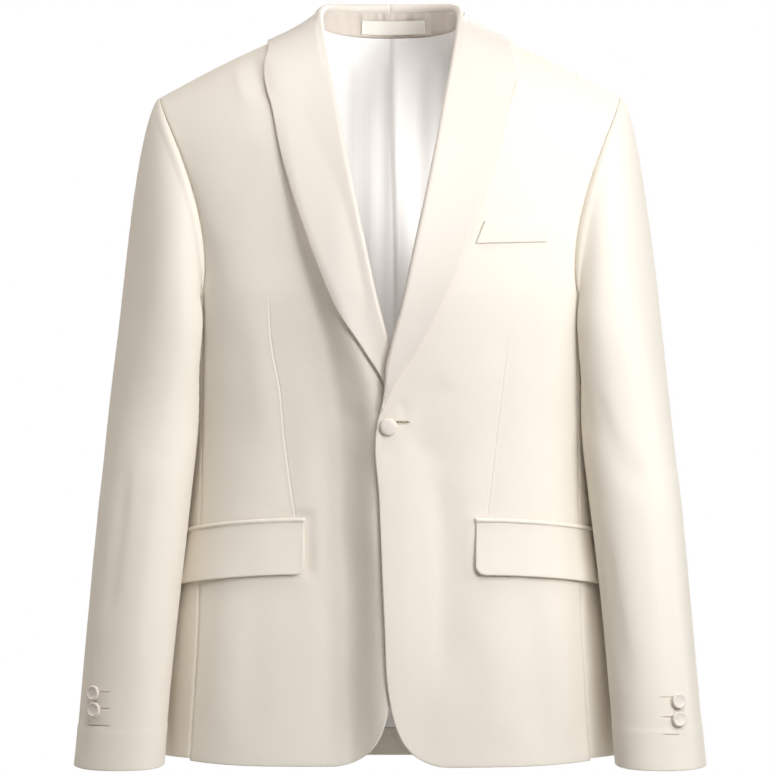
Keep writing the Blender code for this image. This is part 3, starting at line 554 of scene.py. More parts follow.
def around_body(turn, z, lift=0.0):
    """A point round the torso, by its angle from the centre front, moved out by lift."""
    section = smooth_rows(BODY_SECTIONS, z)
    turn = np.asarray(turn, float)
    depth = np.where(np.cos(turn) > 0, section[..., 1], section[..., 2])
    x_share, y_share = np.abs(np.sin(turn)) / section[..., 0], np.abs(np.cos(turn)) / depth
    reach = (x_share**SQUARENESS + y_share**SQUARENESS) ** (-1 / SQUARENESS)
    x, y = reach * np.sin(turn), -reach * np.cos(turn)
    slope_x = (np.abs(x) / section[..., 0]) ** (SQUARENESS - 1) / section[..., 0] * np.sign(x)
    slope_y = (np.abs(y) / depth) ** (SQUARENESS - 1) / depth * np.sign(y)
    length = np.hypot(slope_x, slope_y)
    return points(x + lift * slope_x / length, y + lift * slope_y / length, z)


def turn_at(x, z, back=False):
    """The angle round the torso of a place given by how far aside it is."""
    turn = np.arctan2(x, body_depth(x, z, back))
    return np.pi - turn if back else turn


def hem_height(turn):
    """The hem's height round the body: lowest at the front and the back, higher at the sides."""
    end = np.where(np.cos(turn) > 0, HEM_FRONT_Z, HEM_BACK_Z)
    return end + (HEM_SIDE_Z - end) * np.sin(turn) ** 4


def front_edge_x(z):
    """The front edge: straight, then slanting away and round the corner into the hem."""
    z = np.asarray(z, float)
    drop = np.clip((CUTAWAY_Z - z) / (CUTAWAY_Z - HEM_FRONT_Z), 0.0, 1.0)
    corner = 1 - np.sqrt(1 - drop**CUTAWAY_CORNER)
    away = CUTAWAY_SLANT * drop * drop + (1 - CUTAWAY_SLANT) * corner
    return smooth_rows(FRONT_EDGE, z)[..., 0] + CUTAWAY_WIDTH * away


def shoulder_seam(share):
    """The shoulder seam, from the neck point to the shoulder tip."""
    share = np.asarray(share, float)[..., None]
    line = np.array(NECK_POINT) * (1 - share) + np.array(SHOULDER_TIP) * share
    return line + np.array((0.0, 0.0, SHOULDER_ARCH)) * np.sin(np.pi * share)


def centre_lift(x, z):
    """How far the fronts stand forward at a place, measured from the overlap's edge."""
    forward = smooth_rows(UNDER_ROWS, z)[..., 4]
    return forward * smooth_step(1 - (np.abs(x + OVERLAP_EDGE) - 0.002) / FORWARD_REACH)


def underlap(x, z):
    """How far the wearer's right front is set back."""
    start, width, depth, back, _ = np.moveaxis(smooth_rows(UNDER_ROWS, z), -1, 0)
    tail = (TROUGH_END - x) / (TROUGH_END - start - 1.2 * width)
    trough = depth * smooth_step((x - start) / width) * smooth_step(tail)
    behind = back * smooth_step(1 - (x + 0.01) / UNDERLAP_REACH)
    return trough + behind - centre_lift(-x, z)


def front_below(across, z):
    """A front below the chest line, on the torso."""
    edge, seam = front_edge_x(z), smooth_rows(FRONT_SEAM, z)[..., 0]
    x = edge + (seam - edge) * across
    return points(x, -body_depth(x, z, back=False), z)


def roll_line(z):
    """Where the front's edge runs behind the lapel's roll, as x and y at a height."""
    rows = [(row[3], row[1] + ROLL_SEAM, row[2] + ROLL_LIFT) for row in SHAWL_SECTIONS[:FRONT_STATIONS]]
    return np.moveaxis(smooth_rows(rows, z), -1, 0)


def front_above(across, rise):
    """A front above the chest line; its edge follows the roll of the lapel."""
    chest = np.full(np.shape(across), CHEST_Z)
    place, line = (
        drawn_up(FRONT_HANDLES, share, front_below(share, chest), shoulder_seam(share), rise)
        for share in (across, np.zeros_like(across))
    )
    roll_x, roll_y = roll_line(line[..., 2])
    ends = smooth_step(rise / 0.12) * smooth_step((1 - rise) / 0.08)
    fade = (1 - across) ** 3 * ends
    place[..., 0] += (roll_x - line[..., 0]) * fade
    place[..., 1] += (roll_y - line[..., 1]) * fade
    return place


def front_panel(across, level, under=False):
    """A front: across from its edge to the side panel and armhole, and up by level, which is -1 at
    the hem, 0 at the chest line and 1 at the shoulder."""
    across, level = float_grid(across, level)
    seam = smooth_rows(FRONT_SEAM, np.full(np.shape(across), HEM_SIDE_Z))[..., 0]
    hem = hem_height(np.arcsin(np.clip(across * seam / BODY_SECTIONS[0][1], 0, 1)))
    low = front_below(across, hem + (CHEST_Z - hem) * np.clip(level + 1, 0.0, 1.0))
    high = front_above(across, np.clip(level, 0.0, 1.0))
    place = np.where((level <= 0)[..., None], low, high)
    x, z = place[..., 0], place[..., 2]
    place[..., 1] += underlap(x, z) if under else -centre_lift(x, z)
    return place


def back_top(across):
    """The back's upper edge: the neck seam from the centre back, then the shoulder seam."""
    neck = neck_seam(np.clip(across / NECK_SHARE, 0.0, 1.0) * np.pi / 2)
    seam = shoulder_seam(np.clip((across - NECK_SHARE) / (1 - NECK_SHARE), 0.0, 1.0))
    return np.where((across <= NECK_SHARE)[..., None], neck, seam)


def neck_seam(quarter, inward=0.0):
    """The back neck seam, by its angle from the centre back, drawn in by inward."""
    x = (NECK_POINT[0] - inward) * np.sin(quarter)
    y = (BACK_NECK[1] - inward) * np.cos(quarter)
    return points(x, y, BACK_NECK[2] * np.cos(quarter) ** 0.6)


def back_below(across, z):
    """A half back below the chest line, on the torso."""
    x = smooth_rows(BACK_SEAM, z)[..., 0] * across
    return points(x, body_depth(x, z, back=True), z)


def back_above(across, rise):
    """A half back above the chest line."""
    start = back_below(across, np.full(np.shape(across), CHEST_Z))
    return drawn_up(BACK_HANDLES, across, start, back_top(across), rise)


def back_panel(across, level):
    """A half back: across from the centre seam to the side panel and armhole, up by level."""
    across, level = float_grid(across, level)
    seam = BACK_SEAM[0][1] / BODY_SECTIONS[0][1]
    hem = hem_height(np.pi - np.arcsin(np.clip(across * seam, 0, 1)))
    low = back_below(across, hem + (CHEST_Z - hem) * np.clip(level + 1, 0.0, 1.0))
    high = back_above(across, np.clip(level, 0.0, 1.0))
    return np.where((level <= 0)[..., None], low, high)


def side_panel(across, up):
    """A side panel: across from the front's seam to the back's, up from hem to underarm."""
    across, up = float_grid(across, up)
    low_turn = (FRONT_SEAM[0][1], BACK_SEAM[0][1])
    begin = turn_at(low_turn[0], HEM_SIDE_Z)
    finish = turn_at(low_turn[1], HEM_SIDE_Z, back=True)
    foot = hem_height(begin + (finish - begin) * across)
    top = CHEST_Z - UNDERARM_SCOOP * np.sin(np.pi * across)
    z = foot + (top - foot) * up
    front = turn_at(smooth_rows(FRONT_SEAM, z)[..., 0], z)
    rear = turn_at(smooth_rows(BACK_SEAM, z)[..., 0], z, back=True)
    return around_body(front + (rear - front) * across, z)


# The sleeves.


def armhole(turn):
    """The armhole's seam line, by turns from the shoulder tip: front, underarm, back."""
    turn = np.asarray(turn, float) % 1.0
    one = np.ones_like(turn)
    front = front_above(one, np.clip(1 - turn / 0.4, 0.0, 1.0))
    under = side_panel(np.clip((turn - 0.4) / 0.2, 0.0, 1.0), one)
    back = back_above(one, np.clip((turn - 0.6) / 0.4, 0.0, 1.0))
    found = np.where((turn < 0.4)[..., None], front, under)
    return np.where((turn > 0.6)[..., None], back, found)


def clear_of_body(place):
    """Pushes points of a sleeve out of the torso, to lie just clear of it."""
    section = smooth_rows(BODY_SECTIONS, place[..., 2])
    depth = np.where(place[..., 1] < 0, section[..., 1], section[..., 2])
    reach = np.hypot(place[..., 0], place[..., 1])
    inside = (
        (np.abs(place[..., 0]) / section[..., 0]) ** SQUARENESS
        + (np.abs(place[..., 1]) / depth) ** SQUARENESS
    ) ** (1 / SQUARENESS)
    grow = np.maximum(1.0, (1 + BODY_CLEARANCE / reach) / inside)
    return np.concatenate([place[..., :2] * grow[..., None], place[..., 2:]], axis=-1)


def sleeve_ring(turn, z):
    """A level section of a sleeve, by turns from its outer side towards the front."""
    section = smooth_rows(SLEEVE_SECTIONS, z)
    middle_x, middle_y, half_width, half_depth, lean = np.moveaxis(section, -1, 0)
    angle = TURN * np.asarray(turn, float)
    power = 2 / SLEEVE_SQUARENESS
    aside = half_width * np.sign(np.cos(angle)) * np.abs(np.cos(angle)) ** power
    ahead = -half_depth * np.sign(np.sin(angle)) * np.abs(np.sin(angle)) ** power
    x = middle_x + aside + lean * np.minimum(ahead, 0.0)
    near_cuff = smooth_step((-0.47 - z) / 0.20)
    return clear_of_body(points(x, middle_y + ahead, z + near_cuff * CUFF_TILT * ahead))


def sleeve_cap(turn, rise):
    """The sleeve's head, from the level section below the arm up to the armhole."""
    low = sleeve_ring(turn, np.full(np.shape(turn), CAP_Z))
    lower = sleeve_ring(turn, np.full(np.shape(turn), CAP_Z - 0.01))
    hole = armhole(turn)
    radial = unit(hole[..., 1:] - np.array(ARMHOLE_MIDDLE))
    out = points(np.ones_like(radial[..., 0]), 0.35 * radial[..., 0], 0.35 * radial[..., 1])
    hole = hole + ARMHOLE_GAP * unit(out)
    reach = np.linalg.norm(hole - low, axis=-1, keepdims=True)
    share = np.clip(reach / 0.12, 0.15, 1.0)
    up_handle = low + unit(low - lower) * reach * CAP_RISE
    roll = points(CAP_OUT[0], CAP_OUT[1] * radial[..., 0], CAP_OUT[2])
    place = cubic(low, up_handle, hole + roll * share, hole, rise)
    at, reach, height = UNDERARM_LAP[:3]
    near = bell(np.asarray(turn, float) - at, reach) * bell(place[..., 2] - height, 0.020)
    near = near * smooth_step((1 - rise) / 0.22)
    return place + near[..., None] * np.array(UNDERARM_LAP[3:])


def sleeve(turn, up):
    """A sleeve: round by turns from its outer side, up from cuff to armhole."""
    turn, up = float_grid(turn, up)
    cuff = SLEEVE_SECTIONS[0][0]
    low = sleeve_ring(turn, cuff + (CAP_Z - cuff) * np.clip(up / CAP_UP, 0.0, 1.0))
    high = sleeve_cap(turn, np.clip((up - CAP_UP) / (1 - CAP_UP), 0.0, 1.0))
    return np.where((up <= CAP_UP)[..., None], low, high)


def seam_turn(seam, up):
    """Where a sleeve seam runs round the arm, between cuff and armhole."""
    at_armhole, at_cuff = seam
    return at_cuff + (at_armhole - at_cuff) * smooth_step(up)


def top_sleeve(across, up):
    """The top sleeve, across from its hind seam to its fore seam."""
    hind, fore = seam_turn(HIND_SEAM, up), seam_turn(FORE_SEAM, up)
    return sleeve(hind + (fore - hind) * across, up)


def under_sleeve(across, up):
    """The under sleeve, across from its fore seam to its hind seam."""
    fore, hind = seam_turn(FORE_SEAM, up), seam_turn(HIND_SEAM, up) + 1
    return sleeve(fore + (hind - fore) * across, up)


# What rests on the panels.


class Skin:
    """The finished outer surface of some panels, to lay other pieces on."""

    def __init__(self, grids):
        corners, faces = [], []
        for grid in grids:
            start = len(corners)
            corners += [Vector(p) for p in grid.reshape(-1, 3)]
            faces += (quads(grid.shape[:2]) + start).tolist()
        self.tree = BVHTree.FromPolygons(corners, faces)

    def front(self, x, z, lift=0.0):
        """The point of the front at x and z, moved out by lift, and the way out there."""
        place, normal, _, _ = self.tree.ray_cast(Vector((x, -1.0, z)), Vector((0.0, 1.0, 0.0)))
        outward = -normal if normal.y > 0 else normal
        return np.array(place + outward * lift), np.array(outward)

    def settle(self, place, lift):
        """Where a line from the garment's inside through a point leaves the skin, moved out."""
        heart = Vector(COLLAR_HEART)
        way = (Vector(place) - heart).normalized()
        found, normal, _, _ = self.tree.ray_cast(heart + way, -way)
        if found is None:
            found, normal, _, _ = self.tree.find_nearest(Vector(place))
        outward = normal if normal.dot(way) > 0 else -normal
        return np.array(found + outward * lift)

    def rest(self, place, lift, settle=True):
        """The place on the skin nearest to a point, moved out by lift; a point farther out stays
        there unless it is to settle."""
        near, normal, _, _ = self.tree.find_nearest(Vector(place))
        outward = normal if normal.dot(near - Vector((0.0, 0.0, near.z - 0.06))) > 0 else -normal
        if not settle and (Vector(place) - near).dot(outward) >= lift:
            return np.array(place)
        return np.array(near + outward * lift)


def shawl_frame(station, under):
    """The crest of the collar's fold with the ways along it, down its fall, out of it and down its
    inner leg, and the leg's length."""
    row = smooth_rows(SHAWL_SECTIONS, station)
    ahead = smooth_rows(SHAWL_SECTIONS, station + 0.01)
    behind = smooth_rows(SHAWL_SECTIONS, max(station - 0.01, SHAWL_SECTIONS[0][0]))
    crest, edge = row[:3].copy(), row[:3] + row[3:6]
    if under:
        dip = np.array((0.0, float(underlap(crest[0], crest[2])), 0.0))
        crest, edge = crest + dip, edge + dip
    along = unit(ahead[:3] - behind[:3])
    fall = edge - crest
    fall = unit(fall - along * fall.dot(along))
    out = unit(np.cross(fall, along))
    upright = float(smooth_step((station - 0.66) / 0.16))
    down = np.array((0.0, 0.0, -1.0))
    down = down - along * down.dot(along)
    leg = unit(fall * (1 - upright) + down * upright)
    return crest, edge, fall, out, leg, row[6]


def fold_radius(station):
    """The radius of the collar's fold, which draws in to nothing at the break."""
    return FOLD_RADIUS * (0.12 + 0.88 * float(smooth_step((station - SHAWL_SECTIONS[0][0]) / 0.10)))


def inner_foot(station, under=False, drop=0.0):
    """The foot of the collar's inner leg, on the side that faces the neck."""
    crest, _, fall, out, leg, length = shawl_frame(station, under)
    facing = -fall * -leg.dot(out) + out * -leg.dot(fall)
    return crest + fold_radius(station) * facing + leg * (length + drop)


def shawl_section(station, under, skin):
    """One cross-section of the shawl collar, from the foot of its inner leg over the fold."""
    crest, edge, fall, out, leg, _ = shawl_frame(station, under)
    neck = float(smooth_step((station - NECK_STATION) / 0.15))
    lift = LAPEL_WALL + REST_GAP + COLLAR_EASE * neck
    edge = (1 - neck) * skin.rest(edge, lift + LAPEL_CURL) + neck * skin.settle(edge, lift)
    low = math.atan2(-leg.dot(fall), -leg.dot(out))
    ring, radius = [], fold_radius(station)
    for angle in np.linspace(low, math.pi / 2, ROLL_STEPS):
        ring.append(crest + radius * (out * math.sin(angle) - fall * math.cos(angle)))
    outer = ring[-1]
    belly = LAPEL_BELLY * float(np.clip(6 * station, 0, 1))
    falling = []
    for share in FALL_SHARES:
        place = outer + (edge - outer) * share + out * belly * math.sin(math.pi * share)
        curl = LAPEL_CURL * (1 - neck) * share**3
        falling.append(skin.rest(place, lift + curl, settle=False))
    section = np.array([inner_foot(station, under)] + ring + falling)
    if station >= 1.0:
        section[:, 0] = 0.0
    return section


# Laying cloth.


def laid(length, low=(0.0,), high=(0.0,), marks=(), pitch=PITCH):
    """Places along a length: close together at its ends and by its marks, evenly between them."""
    fixed = [*low, *(length - step for step in high)]
    for middle, steps in marks:
        fixed += [middle, *(middle + step for step in steps), *(middle - step for step in steps)]
    fixed = sorted(place for place in set(fixed) | {0.0, length} if 0 <= place <= length)
    found = [0.0]
    for place in fixed[1:]:
        if place - found[-1] < 0.00006 and place < length:
            continue
        gap = place - found[-1]
        count = max(1, math.ceil(gap / pitch - 0.2))
        found += [found[-1] + gap * (step + 1) / count for step in range(count)]
    return np.array(found)


def quads(size):
    """The faces of a grid of points, as indices."""
    index = np.arange(size[0] * size[1]).reshape(size)
    return np.stack([index[:-1, :-1], index[1:, :-1], index[1:, 1:], index[:-1, 1:]], -1).reshape(-1, 4)


def outward(place, flip=False):
    """A grid's unit normals, out of the garment."""
    normal = unit(np.cross(np.gradient(place, axis=0), np.gradient(place, axis=1)))
    return -normal if flip else normal


def run_along(place, axis):
    """How far each point of a grid lies from its first one, along its own row or column."""
    step = np.linalg.norm(np.diff(place, axis=axis), axis=-1)
    start = np.zeros_like(np.take(step, [0], axis=axis))
    return np.concatenate([start, np.cumsum(step, axis=axis)], axis=axis)


def laid_grid(across, up):
    """The shares along a grid's two ways at its points; each way is given by what laid() takes."""
    return np.broadcast_arrays(laid(*across)[:, None] / across[0], laid(*up)[None, :] / up[0])


def soft_relief(folds, first, second, slack, seed, seam, share=1.0):
    """The soft folds and the slack of a cloth, which fade out towards its pressed seams."""
    relief = fold_relief(folds, first, second) + slack * drape(first, second, seed)
    return relief * smooth_step(seam / QUIET_NEAR_SEAM) * share * bpy.context.scene.jacket_sizes.folds


def seam_distance(place, low_across=False, high_across=False, low_up=False, high_up=False):
    """How far each point lies from the nearest of the grid's edges that are seams."""
    across, up = run_along(place, 0), run_along(place, 1)
    found = np.full(across.shape, FAR)
    for is_seam, gap in (
        (low_across, across),
        (high_across, across[-1:] - across),
        (low_up, up),
        (high_up, up[:, -1:] - up),
    ):
        if is_seam:
            found = np.minimum(found, gap)
    return found


def line_distance(place, line):
    """How far each point lies from a line drawn through points."""
    tree = KDTree(len(line))
    for index, corner in enumerate(line):
        tree.insert(corner, index)
    tree.balance()
    flat = place.reshape(-1, 3)
    near = np.array([tree.find(corner)[1] for corner in flat])
    found = np.full(len(flat), FAR)
    for first, last in ((near - 1, near), (near, near + 1)):
        start = line[np.clip(first, 0, len(line) - 1)]
        way = line[np.clip(last, 0, len(line) - 1)] - start
        size = np.maximum((way * way).sum(-1), 1e-18)
        share = np.clip(((flat - start) * way).sum(-1) / size, 0.0, 1.0)
        found = np.minimum(found, np.linalg.norm(flat - start - share[:, None] * way, axis=-1))
    return found.reshape(place.shape[:-1])


def fold_relief(folds, first, second):
    """How far soft folds lift the cloth, at places given by two measures along it."""
    relief = np.zeros(np.shape(first))
    for *lengths, lean in folds:
        from_first, from_second, to_first, to_second, bow, width, height = (mm / 1000 for mm in lengths)
        way = np.array((to_first - from_first, to_second - from_second))
        length = np.hypot(*way)
        way /= length
        right, down = first - from_first, second - from_second
        share = (right * way[0] + down * way[1]) / length
        aside = right * -way[1] + down * way[0] - bow * np.sin(np.pi * np.clip(share, 0, 1))
        spread = width * (0.8 + 0.4 * np.clip(share, 0, 1)) * (1 + lean * np.tanh(aside / width))
        ends = smooth_step(share / 0.35 + 0.15) * smooth_step((1 - share) / 0.30 + 0.15)
        relief += height * ends * bell(aside, spread)
    return relief


def drape(first, second, seed):
    """The slight, slow unevenness of hung cloth, as shares from -1 to 1."""
    slow = np.sin(31 * first + 7 * second + seed) * np.sin(17 * second - 9 * first + 2.1 * seed)
    return 0.65 * slow + 0.35 * np.sin(58 * first - 23 * second + 1.7 * seed)


def eased(place, height, share=1.0, reach=0.022, taps=5):
    """The grid with the turn in its columns at a height drawn smooth, by a share at each point."""
    padded = np.pad(place, ((0, 0), (taps, taps), (0, 0)), mode="edge")
    weights = bell(np.arange(-taps, taps + 1), 0.55 * taps)
    columns = place.shape[1]
    mean = sum(w * padded[:, k : k + columns] for k, w in enumerate(weights / weights.sum()))
    near = bell(place[..., 2] - height, reach)
    return place + (mean - place) * (near * share)[..., None]


def shell_sides(place, relief=0.0, seam=FAR, turned=FAR, wall=None, edge_wall=None, flip=False):
    """The outer and inner surface of a cloth: pressed in along its seams, and rounded and a little
    thicker at its turned edges."""
    sizes = bpy.context.scene.jacket_sizes
    edge_wall = edge_wall or wall or sizes.edge_wall
    wall = wall or sizes.cloth_wall
    out = outward(place, flip)
    bulk = (edge_wall - wall) * bell(turned, 0.010)
    full = wall + bulk
    rounding = np.clip(turned / (full / 2), 0.0, 1.0)
    thick = full * np.maximum(np.sqrt(1 - (1 - rounding) ** 2), 0.12)
    lift = relief + bulk / 2 - (full - thick) / 2
    ditch = SEAM_DITCH * bell(seam, SEAM_WIDTH)
    ridge = SEAM_BULK * bell(seam - 0.0045, 0.0030)
    outer = place + out * (lift + ridge - ditch)[..., None]
    inner = place + out * (lift - thick)[..., None]
    return outer, inner


def shell_object(name, finish, outer, inner, lined=0.0, flip=False, mirror=False):
    """A closed piece of cloth, with its UV map in metres along the grain, and where it is lined."""
    size = outer.shape[:2]
    count = size[0] * size[1]
    corners = np.concatenate([outer.reshape(-1, 3), inner.reshape(-1, 3)])
    if mirror:
        corners = corners * np.array((-1.0, 1.0, 1.0))
    index = np.arange(count).reshape(size)
    rim = np.concatenate([index[:-1, 0], index[-1, :-1], index[:0:-1, -1], index[0, :0:-1]])
    after = np.roll(rim, -1)
    front = quads(size)
    sides = np.stack([after, rim, rim + count, after + count], -1)
    faces = np.concatenate([front, front[:, ::-1] + count, sides])
    if flip != mirror:
        faces = faces[:, ::-1]
    mesh = bpy.data.meshes.new(name)
    mesh.from_pydata(corners.tolist(), [], faces.tolist())
    across = np.broadcast_to(run_along(outer, 0).mean(axis=1)[:, None], size)
    up = np.broadcast_to(run_along(outer, 1).mean(axis=0)[None, :], size)
    flat = np.tile(np.stack([across, up], -1).reshape(-1, 2), (2, 1))
    mesh.uv_layers.new(name="grain").data.foreach_set("uv", flat[faces.reshape(-1)].reshape(-1))
    # Where the inside is lined it takes the inside colour, which also paints the shade inside the
    # jacket.
    values = np.zeros((2,) + size)
    values[1] = lined
    mesh.attributes.new("lined", "FLOAT", "POINT").data.foreach_set("value", values.reshape(-1))
    return add_piece(name, mesh, finish)


def add_piece(name, mesh, finish):
    """Adds a mesh to the scene as a piece in a finish."""
    mesh.materials.append(finish)
    mesh.shade_smooth()
    made = bpy.data.objects.new(name, mesh)
    bpy.context.scene.collection.objects.link(made)
    return made


def declare(piece, nodes=()):
    """Attaches a piece to the root, and hides the solids it stands for."""
    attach(piece, "root")
    if nodes:
        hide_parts(*nodes)
    return piece


def cut_cloth(
    node, slot, finish, faces, flat, area=None, held="hung", rests_on=(), flip=False, name=""
):
    """Makes the cloth of a solid, attaches it to the root and hides the solid."""
    mirror = node.endswith("right")
    piece = shell_object(name or f"{node}_cloth", finish, *faces, flip=flip, mirror=mirror)
    declare(piece, [node])


# The panels of the body.


def body_levels(low_marks=(), hem_steps=TURNED_STEPS, above=0.300):
    """Levels for the rows of a body panel: -1 at the hem, 0 at the chest line, 1 at the top."""
    below = CHEST_Z - HEM_FRONT_Z
    low = laid(below, hem_steps, (0.0,), low_marks)
    high = laid(above, (0.0,), SEAM_STEPS)
    return np.concatenate([low / below - 1, high[1:] / above])


def dart_x(side, z):
    """Where a front's dart lies at a height."""
    return smooth_rows(DARTS[side], z)[..., 0]


def front_place(side):
    """A front's grid, with one of its columns on the dart."""
    marks, rows = [(DART_COLUMN * FRONT_WIDTH, DART_STEPS)], []
    if side == "left":
        marks.append((HOLE_COLUMN, HOLE_COLUMN_STEPS))
        rows.append((BUTTONHOLE_Z - HEM_FRONT_Z, HOLE_ROW_STEPS))
    across = laid(FRONT_WIDTH, TURNED_STEPS, SEAM_STEPS, marks) / FRONT_WIDTH
    middle = across[np.argmin(np.abs(across - DART_COLUMN))]
    level = body_levels(rows, TURNED_STEPS + CORNER_STEPS)[None, :]
    z = HEM_FRONT_Z + (CHEST_Z - HEM_FRONT_Z) * np.clip(level + 1, 0, 1)
    edge, seam = front_edge_x(z), smooth_rows(FRONT_SEAM, z)[..., 0]
    wanted = (dart_x(side, z) - edge) / (seam - edge)
    keep = smooth_step((0.45 - level) / 0.45) * smooth_step((z + 0.66) / 0.10)
    across = across[:, None]
    near = smooth_step(np.minimum(across / middle, (1 - across) / (1 - middle)))
    across = across + (wanted - middle) * near * keep
    place = front_panel(across, np.broadcast_to(level, across.shape), under=side == "right")
    return eased(place, CHEST_Z, smooth_step(seam_distance(place, high_across=True) / QUIET_NEAR_SEAM))


def front_relief(side, place, seam):
    """How far a front's folds and its dart move its cloth."""
    x, z = place[..., 0], place[..., 2]
    flat = smooth_step((x - 0.070) / 0.012) * under_pocket(z, -0.556)
    seed = 0.8 if side == "left" else 2.9
    relief = soft_relief(FRONT_FOLDS[side], x, z, 0.0005, seed, seam, 1 - flat)
    top, foot = DARTS[side][-1][0], DARTS[side][0][0]
    aside = (x - dart_x(side, z)) * 1.08
    pinch = smooth_step((top - z) / 0.040) * smooth_step((z - foot) / 0.002)
    pressed = -0.0004 * bell(aside, 0.0008) + 0.00015 * bell(aside - 0.0018, 0.0011)
    return relief + pinch * (pressed - 0.0008 * bell(aside, 0.014))


def under_pocket(z, foot):
    """Where a panel lies flat under a pocket: from the pocket's top down to a foot."""
    return smooth_step((POCKET_TOP - z) / 0.010) * smooth_step((z - foot) / 0.012)


def slit_share(x, z, low, high, height, half):
    """How much of a point lies in a slit that runs across, from low to high, at a height."""
    ends = smooth_step(((high - low) / 2 + SLIT_EASE - np.abs(x - (low + high) / 2)) / (2 * SLIT_EASE))
    return ends * np.exp(-(((z - height) / half) ** 4))


def lined_above(distance, facing):
    """Where a panel's inside is lined, past the cloth that is turned in along an edge."""
    return smooth_step((distance - facing) / 0.003)


class Body:
    """The panels and sleeves once they are laid, each as its outer and inner surface and where it is
    lined."""

    panels = {}
    skins = {}

    @classmethod
    def panel(cls, name):
        """A panel or a piece of a sleeve by its name, laid on first use."""
        if name not in cls.panels:
            kind, side = name.split("_")
            lay = {"front": lay_front, "back": lay_back, "side": lay_side}.get(kind)
            cls.panels[name] = lay(side) if lay else lay_sleeve(kind, side)
        return cls.panels[name]

    @classmethod
    def skin(cls, side):
        """The outside of the front, the side panel and the back of one side."""
        if side not in cls.skins:
            kinds = ("front", "back", "side")
            cls.skins[side] = Skin([cls.panel(f"{kind}_{side}")[0] for kind in kinds])
        return cls.skins[side]


def lay_front(side):
    """A front, turned in along its edge and hem; the left one has the buttonhole."""
    place = front_place(side)
    seam = seam_distance(place, high_across=True, high_up=True)
    below_break = int(np.sum(place[0, :, 2] < BREAK_Z))
    line = np.concatenate([place[0, :below_break][::-1], place[1:, 0]])
    turned = line_distance(place, line)
    relief = front_relief(side, place, seam)
    outer, inner = shell_sides(place, relief, seam, turned)
    if side == "left":
        hole = slit_share(place[..., 0], place[..., 2], *BUTTONHOLE_SPAN, BUTTONHOLE_Z, SLIT_HALF)
        sunk = outward(place) * hole[..., None]
        outer, inner = outer - sunk * SLIT_DEPTH, inner - sunk * SLIT_INNER_DEPTH
    above_hem = place[..., 2] - HEM_FRONT_Z
    return outer, inner, lined_above(turned, FRONT_FACING) * lined_above(above_hem, FRONT_HEM_FACING)


def lay_back(side):
    """A half back, drawn smooth across below the collar."""
    across = laid(BACK_WIDTH, SEAM_STEPS, SEAM_STEPS)[:, None] / BACK_WIDTH
    place = back_panel(across, body_levels()[None, :])
    below_top = seam_distance(place, high_up=True)
    aside = seam_distance(place, low_across=True, high_across=True)
    open_cloth = smooth_step(below_top / 0.03) * smooth_step((aside - 0.012) / 0.02)
    for _ in range(BACK_SMOOTHING):
        middle = (place[:-2] + place[2:]) / 2
        place[1:-1] += (middle - place[1:-1]) * 0.5 * open_cloth[1:-1, :, None]
    place = eased(place, CHEST_Z, smooth_step(seam_distance(place, high_across=True) / QUIET_NEAR_SEAM))
    seam = seam_distance(place, low_across=True, high_across=True, high_up=True)
    turned = run_along(place, 1)
    x, z = place[..., 0], place[..., 2]
    seed = 1.3 if side == "left" else 4.4
    relief = soft_relief(BACK_FOLDS[side], x, z, 0.0006, seed, seam)
    return *shell_sides(place, relief, seam, turned, flip=True), lined_above(turned, HEM_FACING)


def lay_side(side):
    """A side panel."""
    place = side_panel(*laid_grid((0.15, SEAM_STEPS, SEAM_STEPS), (0.46, TURNED_STEPS, SEAM_STEPS)))
    seam = seam_distance(place, low_across=True, high_across=True, high_up=True)
    turned = run_along(place, 1)
    y, z = place[..., 1], place[..., 2]
    flat = smooth_step((0.034 - y) / 0.012) * under_pocket(z, -0.568)
    seed = 0.4 if side == "left" else 3.6
    relief = soft_relief(SIDE_FOLDS[side], y, z, 0.0005, seed, seam, 1 - flat)
    return *shell_sides(place, relief, seam, turned), lined_above(turned, HEM_FACING)


# The sleeves' cloth.


def cuff_level(height, x):
    """The level of the row of a sleeve that passes a place on the front of its cuff."""
    ring = sleeve_ring(np.linspace(0.02, 0.48, 93), np.full(93, height))
    return 2 * height - ring[np.argmin(np.abs(ring[:, 0] - x)), 2]


def cuff_hole_share(side, place):
    """How much of a point of a sleeve lies in one of the cuff's sewn lines."""
    x, z = place[..., 0], place[..., 2]
    rows = CUFF_HOLES[side]
    slits = [slit_share(x, z, low, high, height, CUFF_HOLE_HALF) for height, low, high in rows]
    return np.max(slits, axis=0) * (outward(place, True)[..., 1] < 0)


